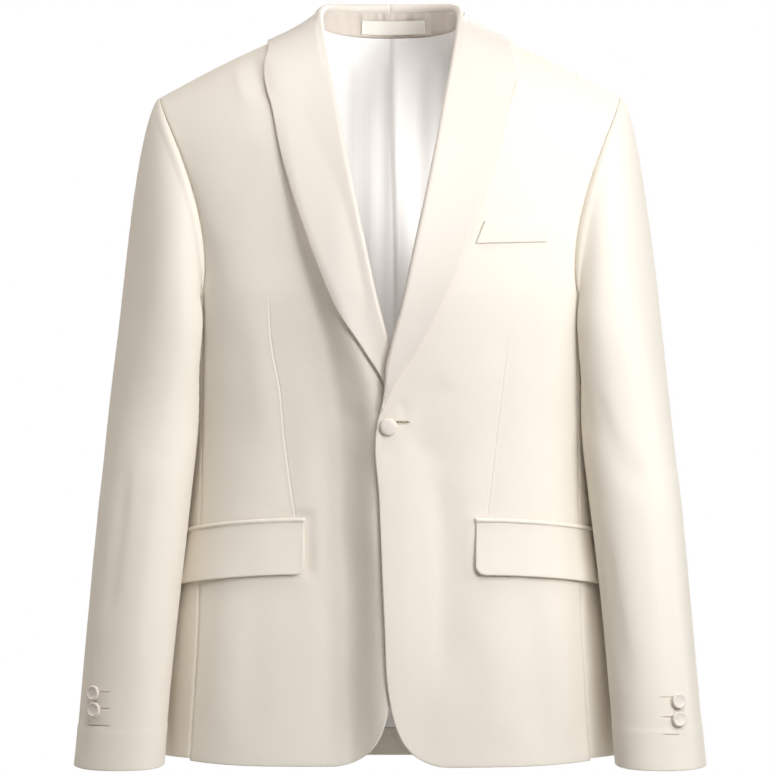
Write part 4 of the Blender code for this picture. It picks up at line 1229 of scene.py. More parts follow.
def lay_sleeve(kind, side):
    """A sleeve piece: its columns round the arm, its rows up to the armhole and on inside it."""
    top = kind == "topsleeve"
    surface, width = (top_sleeve, TOP_SLEEVE_WIDTH) if top else (under_sleeve, UNDER_SLEEVE_WIDTH)
    across = laid(width, SEAM_STEPS, SEAM_STEPS)[:, None] / width
    cuff, marks = SLEEVE_SECTIONS[0][0], []
    for height, low, high in CUFF_HOLES[side] if top else ():
        level = cuff_level(height, (low + high) / 2)
        marks.append((SLEEVE_LENGTH * CAP_UP * (level - cuff) / (CAP_Z - cuff), CUFF_HOLE_STEPS))
    up = laid(SLEEVE_LENGTH, TURNED_STEPS, SEAM_STEPS, marks)[None, :] / SLEEVE_LENGTH
    place = eased(surface(across, up), CAP_Z)
    seam = seam_distance(place, low_across=True, high_across=True, high_up=True)
    turned = run_along(place, 1)
    hind, fore = seam_turn(HIND_SEAM, up), seam_turn(FORE_SEAM, up)
    low, high = (hind, fore) if top else (fore, hind + 1)
    round_it = (low + (high - low) * across) * SLEEVE_ROUND
    folds = SLEEVE_FOLDS[side] if top else UNDERSLEEVE_FOLDS
    seed = {"left": 0.9, "right": 2.2}[side] + (0.0 if top else 1.9)
    relief = soft_relief(folds, round_it, place[..., 2], 0.0006, seed, seam)
    head = turned[:, -1:] - turned
    if top:
        front_of_tip = smooth_step((-0.012 - place[:, -1:, 1]) / 0.030)
        relief = relief + HEAD_ROLL * front_of_tip * bell(head - 0.0065, 0.0060)
        relief = relief - CUFF_HOLE_DEPTH * cuff_hole_share(side, place)
    relief = relief + TURN_UP_STEP * smooth_step((TURN_UP - turned) / 0.0012)
    relief = relief + (1 - ARMHOLE_DITCH) * SEAM_DITCH * bell(head, SEAM_WIDTH)
    radial = unit(place[:, -1, 1:] - np.array(ARMHOLE_MIDDLE))
    way = points(np.full(len(radial), -0.35), -radial[:, 0], -radial[:, 1])
    outer, inner = (
        np.concatenate([face] + [face[:, -1:] + (way * tuck)[:, None] for tuck in SLEEVE_TUCKS], axis=1)
        for face in shell_sides(place, relief, seam, turned, flip=True)
    )
    lined = lined_above(turned, CUFF_FACING)
    return outer, inner, np.pad(lined, ((0, 0), (0, len(SLEEVE_TUCKS))), mode="edge")


# The shawl collar's cloth.


def lay_shawl(side):
    """A half of the collar: sections from the break to the centre back, drawn smooth where they
    fall behind the neck."""
    start = SHAWL_SECTIONS[0][0]
    lower = laid(LAPEL_LENGTH, (0.0, 0.001, 0.003), pitch=0.0036) / LAPEL_LENGTH
    upper = laid(COLLAR_LENGTH, (0.0,), (0.0, 0.0006, 0.0014, 0.0026), pitch=0.0036) / COLLAR_LENGTH
    lower, upper = start + (NECK_STATION - start) * lower, NECK_STATION + (1 - NECK_STATION) * upper[1:]
    stations = np.concatenate([lower, upper])
    sections = [shawl_section(float(station), side == "right", Body.skin(side)) for station in stations]
    place = np.swapaxes(np.array(sections), 0, 1)
    between = (place[:-2] + place[2:]) / 2
    stray = np.linalg.norm(place[1:-1] - between, axis=-1) > STRAY
    place[1:-1][stray] = between[stray]
    for _ in range(LAPEL_SMOOTHING):
        middle = (place[:, :-2] + 2 * place[:, 1:-1] + place[:, 2:]) / 4
        place = np.concatenate([place[:, :1], middle, place[:, -1:]], axis=1)
    falling = place[len(place) // 3 :]
    inner = stations[1:-1]
    at_neck = smooth_step((inner - COLLAR_TURN + 0.06) / 0.06) * smooth_step((1 - inner) / 0.04)
    for _ in range(COLLAR_SMOOTHING):
        middle = (falling[:, :-2] + falling[:, 2:]) / 2
        falling[:, 1:-1] += (middle - falling[:, 1:-1]) * 0.5 * at_neck[:, None]
    seam = seam_distance(place, high_up=True)
    turned = seam_distance(place, high_across=True)
    wall = bpy.context.scene.jacket_sizes.shawl_wall
    return shell_sides(place, 0.0006 * bell(seam, SEAM_WIDTH), seam, turned, wall, wall + 0.0002)


# Inside the neck and the back.


def neck_band_surface(across, up):
    """The lining of the collar's stand, round the back neck; across runs from right to left."""
    side = 2 * across - 1
    station = 1 - (1 - NECK_STATION) * BAND_REACH * np.abs(side)
    top = np.array([inner_foot(float(t), drop=-BAND_TUCK) for t in station[:, 0]])[:, None]
    foot = neck_seam(np.abs(side) * np.pi / 2, inward=BAND_INWARD)
    foot[..., 2] += BAND_LIFT
    place = foot + (top - foot) * up[..., None]
    place[..., 0] *= np.sign(side)
    return place


def lining_surface(across, level):
    """The back lining: across from right to left, up by level from its foot."""
    side = 2 * across - 1
    share = LINING_EDGE * np.abs(side)
    low, rise = np.clip(level + 1, 0, 1), np.clip(level, 0, 1) * (1 - LINING_TOP)

    def outer(share, low, rise):
        below = back_below(share, LINING_FOOT_Z + (CHEST_Z - LINING_FOOT_Z) * low)
        return np.where((rise <= 0)[..., None], below, back_above(share, rise))

    place = outer(share, low, rise)
    step = 0.004
    beside = outer(share + step, low, rise) - place
    above = place - outer(share, low - step, np.where(rise > 0, np.maximum(rise - step, 0), 0.0))
    normal = unit(np.cross(above, beside))
    gap = LINING_GAP * (1 - 0.45 * smooth_step((rise - 0.75) / 0.25))
    place = place - normal * (SHELL_WALL + gap + LINING_WALL)[..., None]
    foot = neck_seam(np.clip(share / NECK_SHARE, 0, 1) * np.pi / 2, inward=BAND_INWARD + LINING_WALL)
    foot[..., 2] += BAND_LIFT + 0.0012
    to_band = smooth_step((rise - 0.86) / 0.13) * smooth_step((NECK_SHARE * 1.15 - share) / 0.06)
    place = place + (foot - place) * to_band[..., None]
    place[..., 0] *= np.sign(side)
    return place


def lay_band():
    """The neck band, with soft waves and, above the label, a fine pucker."""
    ends = (SEAM_STEPS, SEAM_STEPS, ())
    across, up = laid_grid((0.240, *ends, 0.0018), (0.028, *ends, 0.0016))
    place = neck_band_surface(across, up)
    seam = seam_distance(place, low_up=True, high_up=True)
    x = place[..., 0]
    pucker = 0.0005 * np.sin(TURN * x / 0.0072 + 1.2 * np.sin(x * 160)) * bell(x + 0.012, 0.016)
    waves = 0.0007 * np.sin(TURN * x / 0.029 + 0.9) + 0.0004 * np.sin(TURN * x / 0.0125 + 2.1)
    relief = (pucker * smooth_step((up - 0.45) / 0.3) + waves) * smooth_step(seam / 0.005)
    return shell_sides(place, relief, seam, wall=LINING_WALL)


def lay_label():
    """The label, laid on the band and lifted a little at its ends."""
    across, up = laid_grid(
        (0.067, TURNED_STEPS[:5], TURNED_STEPS[:5], (), 0.0014),
        (0.017, TURNED_STEPS[:4], TURNED_STEPS[:4], (), 0.0012),
    )
    side = LABEL_SPAN[0] + (LABEL_SPAN[1] - LABEL_SPAN[0]) * across
    place = neck_band_surface(0.5 + side / 2, LABEL_RISE[0] + (LABEL_RISE[1] - LABEL_RISE[0]) * up)
    place = place + unit(points(-place[..., 0], -place[..., 1], 0 * up)) * LABEL_LIFT
    turned = seam_distance(place, True, True, True, True)
    ends = seam_distance(place, True, True)
    relief = 0.00025 * bell(ends, 0.0035) + 0.00012 * np.sin(place[..., 0] * 260)
    return shell_sides(place, relief, FAR, turned, LABEL_WALL)


def lay_lining():
    """The back lining, with a pleat pressed to one side down its middle."""
    half = laid(0.27, (0.0, 0.0015, 0.0035, 0.006, 0.009, 0.0125, 0.0165), (0.0,), pitch=0.0055) / 0.27
    across = np.concatenate([0.5 - half[::-1] / 2, 0.5 + half[1:] / 2])[:, None]
    below = laid(0.44, TURNED_STEPS, pitch=0.0065) / 0.44 - 1
    level = np.concatenate([below, laid(0.30, pitch=0.0055)[1:] / 0.30])
    across, level = np.broadcast_arrays(across, level[None, :])
    place = eased(lining_surface(across, level), CHEST_Z, reach=0.030, taps=4)
    x, z = place[..., 0], place[..., 2]
    aside = x - 0.003 - 0.004 * smooth_step((-0.02 - z) / 0.25)
    pleat = np.where(aside < 0, bell(aside, 0.0016), bell(aside, 0.016))
    waves = 0.0007 * np.sin(TURN * x / 0.034 + 9 * z + 0.6) + 0.0004 * np.sin(TURN * x / 0.019 - 7 * z)
    relief = 0.0026 * pleat + 0.0008 * drape(x, z, 5.1) + waves * smooth_step((-0.03 - z) / 0.02)
    # At the top it comes in over the edge of the back, to reach the band.
    relief = relief - 0.0008 + 0.0018 * smooth_step((z + 0.060) / 0.025)
    return shell_sides(place, relief, FAR, run_along(place, 1), LINING_WALL)


# The pockets.


def pocket_turns(z):
    """Angles round the body and the lengths along it from the pocket's front end, at a height."""
    turns = np.linspace(float(turn_at(POCKET_START, z)), math.radians(110), 240)
    ring = around_body(turns, np.full(turns.shape, z))
    return turns, run_along(ring[:, None], 0)[:, 0]


def hip_strip(side, top, depth, lift, run, up, corner=0.0, start=0.0):
    """A strip laid on the hip, hanging from a height by depth, with its lower corners rounded."""
    turns, lengths = pocket_turns(top)
    span = POCKET_LENGTH - 2 * start
    run = start + span * run
    near_end = np.minimum(run - start, start + span - run)
    bite = np.clip(corner - near_end, 0.0, corner)
    drop = depth - (corner - np.sqrt(np.maximum(corner**2 - bite**2, 0.0)))
    z = top - POCKET_FALL * (run / POCKET_LENGTH) ** 2 - drop * (1 - up)
    turn = np.interp(run, lengths, turns)
    base = around_body(turn, z)
    place = base + (around_body(turn, z, 0.001) - base) / 0.001 * np.asarray(lift)[..., None]
    if side == "right":
        place[..., 1] += underlap(base[..., 0], base[..., 2])
    return place


def lay_jet(side):
    """A jet: a narrow, swelling roll of cloth, a little uneven along its length."""
    run = laid(POCKET_LENGTH, TURNED_STEPS, TURNED_STEPS, pitch=0.003)[:, None] / POCKET_LENGTH
    run, up = np.broadcast_arrays(run, np.linspace(0, 1, 13)[None, :])
    ends = np.minimum(run, 1 - run) * POCKET_LENGTH
    swell = JET_SWELL * np.sin(np.pi * up) ** 0.7 * np.sqrt(np.clip(ends / 0.0022, 0, 1))
    swell = swell * (1 + 0.14 * np.sin(run * 21 + 0.6) + 0.10 * np.sin(run * 47))
    place = hip_strip(side, JET_TOP_Z, JET_DEPTH, REST_GAP + JET_WALL - 0.0002 + swell, run, up)
    turned = np.minimum(ends, np.minimum(up, 1 - up) * JET_DEPTH)
    return shell_sides(place, turned=turned, wall=JET_WALL)


def lay_flap(side):
    """A flap, hanging a little clear of the jacket and in slow waves along its lower edge."""
    steps = TURNED_STEPS + (0.0042, 0.0056, 0.0074)
    top_steps = (0.0, 0.0006, 0.0014, 0.0026)
    run, up = laid_grid((POCKET_LENGTH, steps, steps), (FLAP_DEPTH, steps, top_steps))
    seed = 0.6 if side == "left" else 2.3
    wave = np.sin(run * 9.5 + seed) * 0.6 + np.sin(run * 17.0 + 2 * seed) * 0.4
    lift = REST_GAP + FLAP_WALL - 0.0007 * up + (1 - up) ** 1.5 * (0.0026 + 0.0009 * wave)
    top = JET_TOP_Z - JET_DEPTH + 0.0006
    place = hip_strip(side, top, FLAP_DEPTH + 0.0012, lift, run, up, FLAP_CORNER, 0.0012)
    line = np.concatenate([place[0, ::-1], place[1:, 0], place[-1, 1:]])
    turned = line_distance(place, line)
    return shell_sides(place, turned=turned, wall=FLAP_WALL, edge_wall=FLAP_WALL + 0.0002)


def lay_welt():
    """The breast pocket's welt, laid on the left front."""
    run, up = laid_grid(
        (0.070, TURNED_STEPS, TURNED_STEPS, (), 0.0024),
        (WELT_DEPTH, SEAM_STEPS[:5], TURNED_STEPS, (), 0.0022),
    )
    x = WELT_START[0] + (WELT_END[0] - WELT_START[0]) * run
    x = x + (WELT_LEAN * 2 * (1 - run) + WELT_LEAN * 0.5 * run) * up
    z = WELT_START[1] + (WELT_END[1] - WELT_START[1]) * run + WELT_DEPTH * up
    skin, lift = Body.skin("left"), REST_GAP / 2 + WELT_WALL
    place = np.array([skin.front(*at, lift)[0] for at in zip(x.ravel(), z.ravel())])
    place = place.reshape(x.shape + (3,))
    line = np.concatenate([place[0], place[1:, -1], place[-1, -2::-1]])
    turned = np.minimum(line_distance(place, line), run_along(place, 1))
    relief = 0.0004 * np.sin(np.pi * up) + 0.00015 * np.sin(run * 12)
    return shell_sides(place, relief, FAR, turned, WELT_WALL)


# Buttons.


def button_mesh(name, diameter, rings, pleats, place, out, turn):
    """A cloth-covered button, turned on its axis, with the pull of its cover; facing out."""
    radius, sides = diameter / 2, 72
    angle = np.linspace(0, TURN, sides, endpoint=False)
    corners = []
    for share, height in rings[:-1]:
        pull = pleats * share**3 * (np.cos(11 * angle + 0.7) + 0.6 * np.cos(17 * angle + 2.0))
        groove = 0.6 * pleats * np.cos(2 * (angle - 0.8)) * share * (1 - share) * 4
        ring = share * radius * (1 + (pull * 0.25 if height > 0.1 else 0))
        rise = height * radius + (radius * (pull * 0.5 + groove) if height > 0.3 else 0)
        corners.append(points(ring * np.cos(angle), ring * np.sin(angle), rise))
    corners = np.concatenate(corners + [np.array([[0, 0, 0.0], [0, 0, rings[-1][1] * radius]])])
    faces = []
    count = len(rings) - 1
    for ring in range(count - 1):
        for k in range(sides):
            a, b = ring * sides + k, ring * sides + (k + 1) % sides
            faces.append((a, b, b + sides, a + sides))
    foot, top = count * sides, count * sides + 1
    for k in range(sides):
        after = (k + 1) % sides
        faces.append((foot, after, k))
        faces.append((top, (count - 1) * sides + k, (count - 1) * sides + after))
    turned = Vector(out).to_track_quat("Z", "Y").to_matrix()
    spun = np.array(turned @ Matrix.Rotation(turn, 3, "Z"))
    mesh = bpy.data.meshes.new(name)
    mesh.from_pydata((corners @ spun.T + np.array(place)).tolist(), [], faces)
    return mesh


def cuff_place(side, height, turn):
    """A place on the outside of a cuff, and the way out of it."""
    at = sleeve_ring(np.array(turn), np.array(height))
    beside = sleeve_ring(np.array(turn + 0.002), np.array(height))
    above = sleeve_ring(np.array(turn), np.array(height + 0.002))
    out = unit(np.cross(above - at, beside - at))
    flip = np.array((1.0 if side == "left" else -1.0, 1.0, 1.0))
    return at * flip, out * flip


# Stitches.


def stitch_tree():
    """A node tree that lays a short, round stitch at each point, along the way the point gives."""
    tree = bpy.data.node_groups.new("stitches", "GeometryNodeTree")
    for title, way, kind in (
        ("Geometry", "INPUT", "Geometry"),
        ("Stitch length", "INPUT", "Float"),
        ("Thread thickness", "INPUT", "Float"),
        ("Thread", "INPUT", "Material"),
        ("Geometry", "OUTPUT", "Geometry"),
    ):
        tree.interface.new_socket(title, in_out=way, socket_type=f"NodeSocket{kind}")
    given = add_node(tree, "NodeGroupInput").outputs
    thick, long = given["Thread thickness"], given["Stitch length"]
    bead = add_node(tree, "GeometryNodeMeshUVSphere", {"Segments": 6, "Rings": 5, "Radius": 0.5})
    size = add_node(tree, "ShaderNodeCombineXYZ", {"X": thick, "Y": thick, "Z": long})
    sized = {"Geometry": bead.outputs["Mesh"], "Scale": size.outputs["Vector"]}
    stitch = add_node(tree, "GeometryNodeTransform", sized)
    way = add_node(tree, "GeometryNodeInputNamedAttribute", {"Name": "way"}, data_type="FLOAT_VECTOR")
    way = {"Vector": way.outputs["Attribute"]}
    turn = add_node(tree, "FunctionNodeAlignRotationToVector", way, axis="Z").outputs["Rotation"]
    sewn = {"Points": given["Geometry"], "Instance": stitch.outputs["Geometry"], "Rotation": turn}
    placed = add_node(tree, "GeometryNodeInstanceOnPoints", sewn).outputs["Instances"]
    real = add_node(tree, "GeometryNodeRealizeInstances", {"Geometry": placed}).outputs["Geometry"]
    finish = add_node(tree, "GeometryNodeSetMaterial", {"Geometry": real, "Material": given["Thread"]})
    add_node(tree, "NodeGroupOutput", {"Geometry": finish.outputs["Geometry"]})
    return tree


def stitched(name, places, ways, length, thickness):
    """Stitches at places along ways, as one mesh."""
    mesh = bpy.data.meshes.new(name)
    mesh.from_pydata([list(place) for place in places], [], [])
    way = mesh.attributes.new("way", "FLOAT_VECTOR", "POINT")
    way.data.foreach_set("vector", np.array(ways, float).reshape(-1))
    made = bpy.data.objects.new(name, mesh)
    bpy.context.scene.collection.objects.link(made)
    tree = bpy.data.node_groups.get("stitches") or stitch_tree()
    sewn = made.modifiers.new("stitches", "NODES")
    sewn.node_group = tree
    values = {"Stitch length": length, "Thread thickness": thickness, "Thread": thread_material()}
    for item in tree.interface.items_tree:
        if item.in_out == "INPUT" and item.name in values:
            sewn[item.identifier] = values[item.name]
    bpy.context.view_layer.update()
    graph = bpy.context.evaluated_depsgraph_get()
    real = bpy.data.meshes.new_from_object(made.evaluated_get(graph))
    real.name = name
    made.modifiers.clear()
    made.data = real
    real.shade_smooth()
    return made


def purl_ring(low, high, height, half, pitch):
    """Places and ways of the stitches round a buttonhole that runs across at a height."""
    places, ways = [], []
    count = int((high - low) / pitch)
    for k in range(count + 1):
        x = low + (high - low) * k / count
        for sign in (-1, 1):
            places.append((x, height + sign * half))
            ways.append((0.12 * (-1) ** k, 1.0))
    for k in range(1, 6):
        angle = -math.pi / 2 + math.pi * k / 6
        for end, sign in ((high, 1), (low, -1)):
            places.append((end + sign * half * math.cos(angle), height + half * math.sin(angle)))
            ways.append((sign * math.cos(angle), math.sin(angle)))
    return places, ways


# Materials.


def add_node(tree, kind, inputs=None, **settings):
    """Adds a node with its settings; each input is a value, or a socket to link it to."""
    node = tree.nodes.new(kind)
    for name, value in settings.items():
        setattr(node, name, value)
    for name, value in (inputs or {}).items():
        if isinstance(value, bpy.types.NodeSocket):
            tree.links.new(value, node.inputs[name])
        else:
            node.inputs[name].default_value = value
    return node


def material(name, values, patterns):
    """The material of that name; when it is new, its shader gets these values and the patterns."""
    made = bpy.data.materials.get(name)
    if made is None:
        made = bpy.data.materials.new(name)
        made.use_nodes = True
        tree = made.node_tree
        inputs = tree.nodes["Principled BSDF"].inputs
        for title, value in values.items():
            inputs[title].default_value = value
        for title, pattern in patterns(tree).items():
            tree.links.new(pattern, inputs[title])
    return made


def dyed(tree, colour, pattern, low, high, dark, light):
    """A colour that goes from dark to light as a pattern goes from low to high."""
    limits = {"From Min": low, "From Max": high, "To Min": dark, "To Max": light}
    spread = add_node(tree, "ShaderNodeMapRange", {"Value": pattern, **limits}).outputs["Result"]
    toned = add_node(tree, "ShaderNodeVectorMath", {0: colour, "Scale": spread}, operation="SCALE")
    return toned.outputs["Vector"]


def woven(name, colour, roughness, sheen, pitch, depth, tone, inside=None):
    """A woven cloth: fine diagonal ribs at a pitch, uneven yarn and slow changes of tone."""
    colour = tuple(colour)

    def weave(tree):
        grain = add_node(tree, "ShaderNodeUVMap", uv_map="grain").outputs["UV"]
        # Bands repeat every 0.628 of a unit along the axes, and lie 1.414 times closer across the ribs.
        wavy = {"Distortion": 1.2, "Detail": 2.0, "Detail Scale": 1.5}
        ribs = {"Vector": grain, "Scale": 0.444 / pitch, **wavy}
        ribs = add_node(tree, "ShaderNodeTexWave", ribs, bands_direction="DIAGONAL").outputs["Fac"]
        yarn = {"Vector": grain, "Scale": 1 / 0.0030, "Detail": 3.0}
        yarn = add_node(tree, "ShaderNodeTexNoise", yarn).outputs["Fac"]
        place = add_node(tree, "ShaderNodeTexCoord").outputs["Object"]
        cloudy = {"Vector": place, "Scale": 1 / 0.085, "Detail": 2.0}
        cloudy = add_node(tree, "ShaderNodeTexNoise", cloudy).outputs["Fac"]
        threads = add_node(tree, "ShaderNodeMath", {0: ribs, 1: yarn}, operation="ADD").outputs[0]
        shade = add_node(tree, "ShaderNodeMath", {0: threads, 1: cloudy}, operation="ADD").outputs[0]
        body = colour
        # Lined insides take the inside colour: a taupe lining colour, darkened to paint the shade
        # inside the hollow jacket.
        if inside:
            lined = add_node(tree, "ShaderNodeAttribute", attribute_name="lined").outputs["Fac"]
            mixed = {"Factor": lined, 6: (*colour, 1.0), 7: (*inside, 1.0)}
            body = add_node(tree, "ShaderNodeMix", mixed, data_type="RGBA").outputs[2]
        bump = add_node(tree, "ShaderNodeBump", {"Height": threads, "Strength": 0.5, "Distance": depth})
        toned = dyed(tree, body, shade, 0.7, 2.3, 1 - tone, 1 + tone)
        return {"Base Color": toned, "Normal": bump.outputs["Normal"]}

    soft = {"Sheen Weight": sheen, "Sheen Roughness": 0.45, "Sheen Tint": (*colour, 1.0)}
    return material(name, {"Roughness": roughness, "Specular IOR Level": 0.28, **soft}, weave)


def wool_material():
    """Worsted wool, woven in a fine twill and pressed: matt, with a soft bloom at a low angle. Its
    0.5 mm ribs are drawn 1.4 mm apart, so that they show. Where it is lined, its inside has a taupe
    lining colour, darkened to paint the shade inside the hollow jacket."""
    colours = bpy.context.scene.jacket_colours
    inside = tuple(colours.inside)
    return woven("worsted_wool_twill", colours.wool, 0.80, 0.16, 0.0014, 0.00012, 0.022, inside)


def band_material():
    """The neck band's close wool twill, darker than the wool to paint the shade under the collar's
    fold.
    Its 0.5 mm ribs are drawn 1.4 mm apart.
    """
    colour = bpy.context.scene.jacket_colours.band
    return woven("neck_band_twill", colour, 0.85, 0.10, 0.0014, 0.00010, 0.02)


def satin_material():
    """Silk-faced satin, close and smooth: it takes a soft shine. Its 0.1 mm threads are drawn as
    1 mm ribs, very shallow."""
    colour = bpy.context.scene.jacket_colours.satin
    return woven("silk_satin", colour, 0.46, 0.10, 0.0010, 0.00004, 0.018)


def label_material():
    """Woven polyester tape, close and slightly glossy. Its 0.2 mm picks are drawn 0.8 mm apart."""
    colour = bpy.context.scene.jacket_colours.label
    return woven("woven_label_tape", colour, 0.50, 0.10, 0.0008, 0.00005, 0.02)


def lining_material():
    """Acetate lining in a striped weave: smooth, pale, with fine lines down the cloth."""
    colour = tuple(bpy.context.scene.jacket_colours.lining)

    def stripe(tree):
        place = add_node(tree, "ShaderNodeTexCoord").outputs["Object"]
        # One stripe every 4.6 mm; bands repeat every 0.628 of a unit.
        stripes = {"Vector": place, "Scale": 0.628 / 0.0046}
        stripes = add_node(tree, "ShaderNodeTexWave", stripes, bands_direction="X").outputs["Fac"]
        crinkle = {"Vector": place, "Scale": 1 / 0.006, "Detail": 3.0}
        crinkle = add_node(tree, "ShaderNodeTexNoise", crinkle).outputs["Fac"]
        bump = {"Height": crinkle, "Strength": 0.35, "Distance": 0.0003}
        bump = add_node(tree, "ShaderNodeBump", bump)
        toned = dyed(tree, colour, stripes, 0.55, 0.95, 1.0, 0.93)
        return {"Base Color": toned, "Normal": bump.outputs["Normal"]}

    return material("striped_acetate_lining", {"Roughness": 0.42, "Specular IOR Level": 0.35}, stripe)


def thread_material():
    """Silk buttonhole twist: round, smooth and softly bright."""
    colour = tuple(bpy.context.scene.jacket_colours.thread)

    def twist(tree):
        place = add_node(tree, "ShaderNodeTexCoord").outputs["Object"]
        ply = {"Vector": place, "Scale": 1 / 0.0012, "Detail": 2.0}
        ply = add_node(tree, "ShaderNodeTexNoise", ply)
        return {"Base Color": dyed(tree, colour, ply.outputs["Fac"], 0.3, 0.7, 0.92, 1.06)}

    return material("silk_buttonhole_twist", {"Roughness": 0.50}, twist)


# The add-on's settings, operators and panel.


def length_setting(name, description, default, low=0.001, high=0.003):
    """A length, in metres, that a user may change."""
    values = {"default": default, "min": low, "max": high, "subtype": "DISTANCE", "unit": "LENGTH"}
    return FloatProperty(name=name, description=description, **values)


def colour_setting(name, description, code):
    """A colour that a user may change."""
    values = {"default": linear(code), "size": 3, "subtype": "COLOR"}
    return FloatVectorProperty(name=name, description=description, **values)


class JacketSizes(bpy.types.PropertyGroup):
    """The sizes that a user may change"""

    cloth_wall: length_setting("Cloth wall", "Thickness of the wool with its canvas", SHELL_WALL)
    edge_wall: length_setting("Turned edge", "Thickness of the wool where an edge is turned in", 0.0023)
    shawl_wall: length_setting("Collar wall", "Thickness of the shawl collar", LAPEL_WALL)
    stitch: length_setting("Stitch length", "Length of a buttonhole stitch", 0.0018, 0.0005, 0.004)
    thread: length_setting("Thread", "Thickness of the buttonhole thread", 0.0005, 0.0002, 0.001)
    folds: FloatProperty(
        name="Folds",
        description="How deep the soft folds are, as a share of their own depth",
        default=1.0,
        min=0.0,
        max=1.5,
        subtype="FACTOR",
    )


class JacketColours(bpy.types.PropertyGroup):
    """The colours that a user may change"""

    wool: colour_setting("Wool", "Colour of the body and sleeves", "#ECE4D7")
    satin: colour_setting("Satin", "Colour of the collar and buttons", "#E7DED3")
    lining: colour_setting("Lining", "Colour of the back lining", "#F4F1EE")
    # Darker than the wool, painting the shade under the collar's fold.
    band: colour_setting("Band", "Colour of the neck band", "#D7CDC1")
    # A taupe lining colour, darkened to paint the shade inside the hollow jacket.
    inside: colour_setting("Inside", "Colour of the linings inside", "#978B7C")
    label: colour_setting("Label", "Colour of the neck label", "#EFEAE0")
    thread: colour_setting("Thread", "Colour of the buttonhole thread", "#E4DCCB")


class JacketOperator(bpy.types.Operator):
    """A step of the build that can be undone"""

    bl_options = {"REGISTER", "UNDO"}


class JACKET_OT_body(JacketOperator):
    """Lays the fronts, the side panels and the backs"""

    bl_idname = "jacket.body"
    bl_label = "Body"

    def execute(self, context):
        for kind, flat, area in (
            ("front", (0.217, 0.819), 0.1384),
            ("side", (0.157, 0.466), 0.0626),
            ("back", (0.293, 0.772), 0.1432),
        ):
            for node in (f"{kind}_left", f"{kind}_right"):
                panel = Body.panel(node)
                cut_cloth(node, "ivory_wool", wool_material(), panel, flat, area, flip=kind == "back")
        return {"FINISHED"}


class JACKET_OT_sleeves(JacketOperator):
    """Lays the top and under pieces of both sleeves"""

    bl_idname = "jacket.sleeves"
    bl_label = "Sleeves"

    def execute(self, context):
        for kind, flat, area in (
            ("topsleeve", (0.363, 0.675), 0.1242),
            ("undersleeve", (0.248, 0.631), 0.0683),
        ):
            for node in (f"{kind}_left", f"{kind}_right"):
                cut_cloth(node, "ivory_wool", wool_material(), Body.panel(node), flat, area, flip=True)
        return {"FINISHED"}


class JACKET_OT_shawl(JacketOperator):
    """Folds the two halves of the shawl collar over the fronts and round the neck"""

    bl_idname = "jacket.shawl"
    bl_label = "Shawl collar"

    def execute(self, context):
        for side in ("left", "right"):
            size = ((0.117, 0.620), 0.0357, "folded")
            cut_cloth(f"shawl_{side}", "ivory_satin", satin_material(), lay_shawl(side), *size)
        return {"FINISHED"}


class JACKET_OT_inside(JacketOperator):
    """Lays the neck band, the label and the back lining"""

    bl_idname = "jacket.inside"
    bl_label = "Neck band, label and lining"

    def execute(self, context):
        cut_cloth("neck_band", "ivory_wool", band_material(), lay_band(), (0.238, 0.029), 0.0048)
        size = ((0.067, 0.017), 0.0011, "laid", ["neck_band_cloth"])
        cut_cloth("label", "woven_label", label_material(), lay_label(), *size, name="neck_label")
        size = ((0.540, 0.739), 0.2483)
        cut_cloth("back_lining", "white_lining", lining_material(), lay_lining(), *size)
        return {"FINISHED"}


class JACKET_OT_pockets(JacketOperator):
    """Lays the hip pockets' jets and flaps and the breast pocket's welt"""

    bl_idname = "jacket.pockets"
    bl_label = "Pockets"

    def execute(self, context):
        wool = ("ivory_wool", wool_material())
        for side in ("left", "right"):
            laid_on = ("laid", [f"front_{side}_cloth", f"side_{side}_cloth"])
            cut_cloth(f"jet_{side}", *wool, lay_jet(side), (0.160, 0.0105), 0.0010, *laid_on)
            cut_cloth(f"flap_{side}", *wool, lay_flap(side), (0.172, 0.051), None, *laid_on)
        laid_on = ("laid", ["front_left_cloth"])
        cut_cloth("breast_welt", *wool, lay_welt(), (0.072, 0.023), None, *laid_on)
        return {"FINISHED"}


class JACKET_OT_buttons(JacketOperator):
    """Makes the covered buttons of the front and the cuffs"""

    bl_idname = "jacket.buttons"
    bl_label = "Buttons"

    @staticmethod
    def cover(node, *form):
        """Makes one covered button, of the size, form and place given."""
        mesh = button_mesh(f"{node}_cover", *form)
        declare(add_piece(f"{node}_cover", mesh, satin_material()), [node])

    def execute(self, context):
        place, out = Body.skin("left").front(*FRONT_BUTTON_PLACE, lift=0.0004)
        self.cover("front_button", FRONT_BUTTON, BUTTON_DOME, 0.020, place, out, 0.4)
        for side in ("left", "right"):
            for row, (around, height) in zip(("upper", "lower"), CUFF_BUTTONS[side]):
                at, out = cuff_place(side, height, around)
                turn = 0.3 if row == "upper" else 1.1
                name = f"cuff_button_{side}_{row}"
                self.cover(name, CUFF_BUTTON, BUTTON_DISH, 0.030, at + out * 0.0010, out, turn)
        return {"FINISHED"}


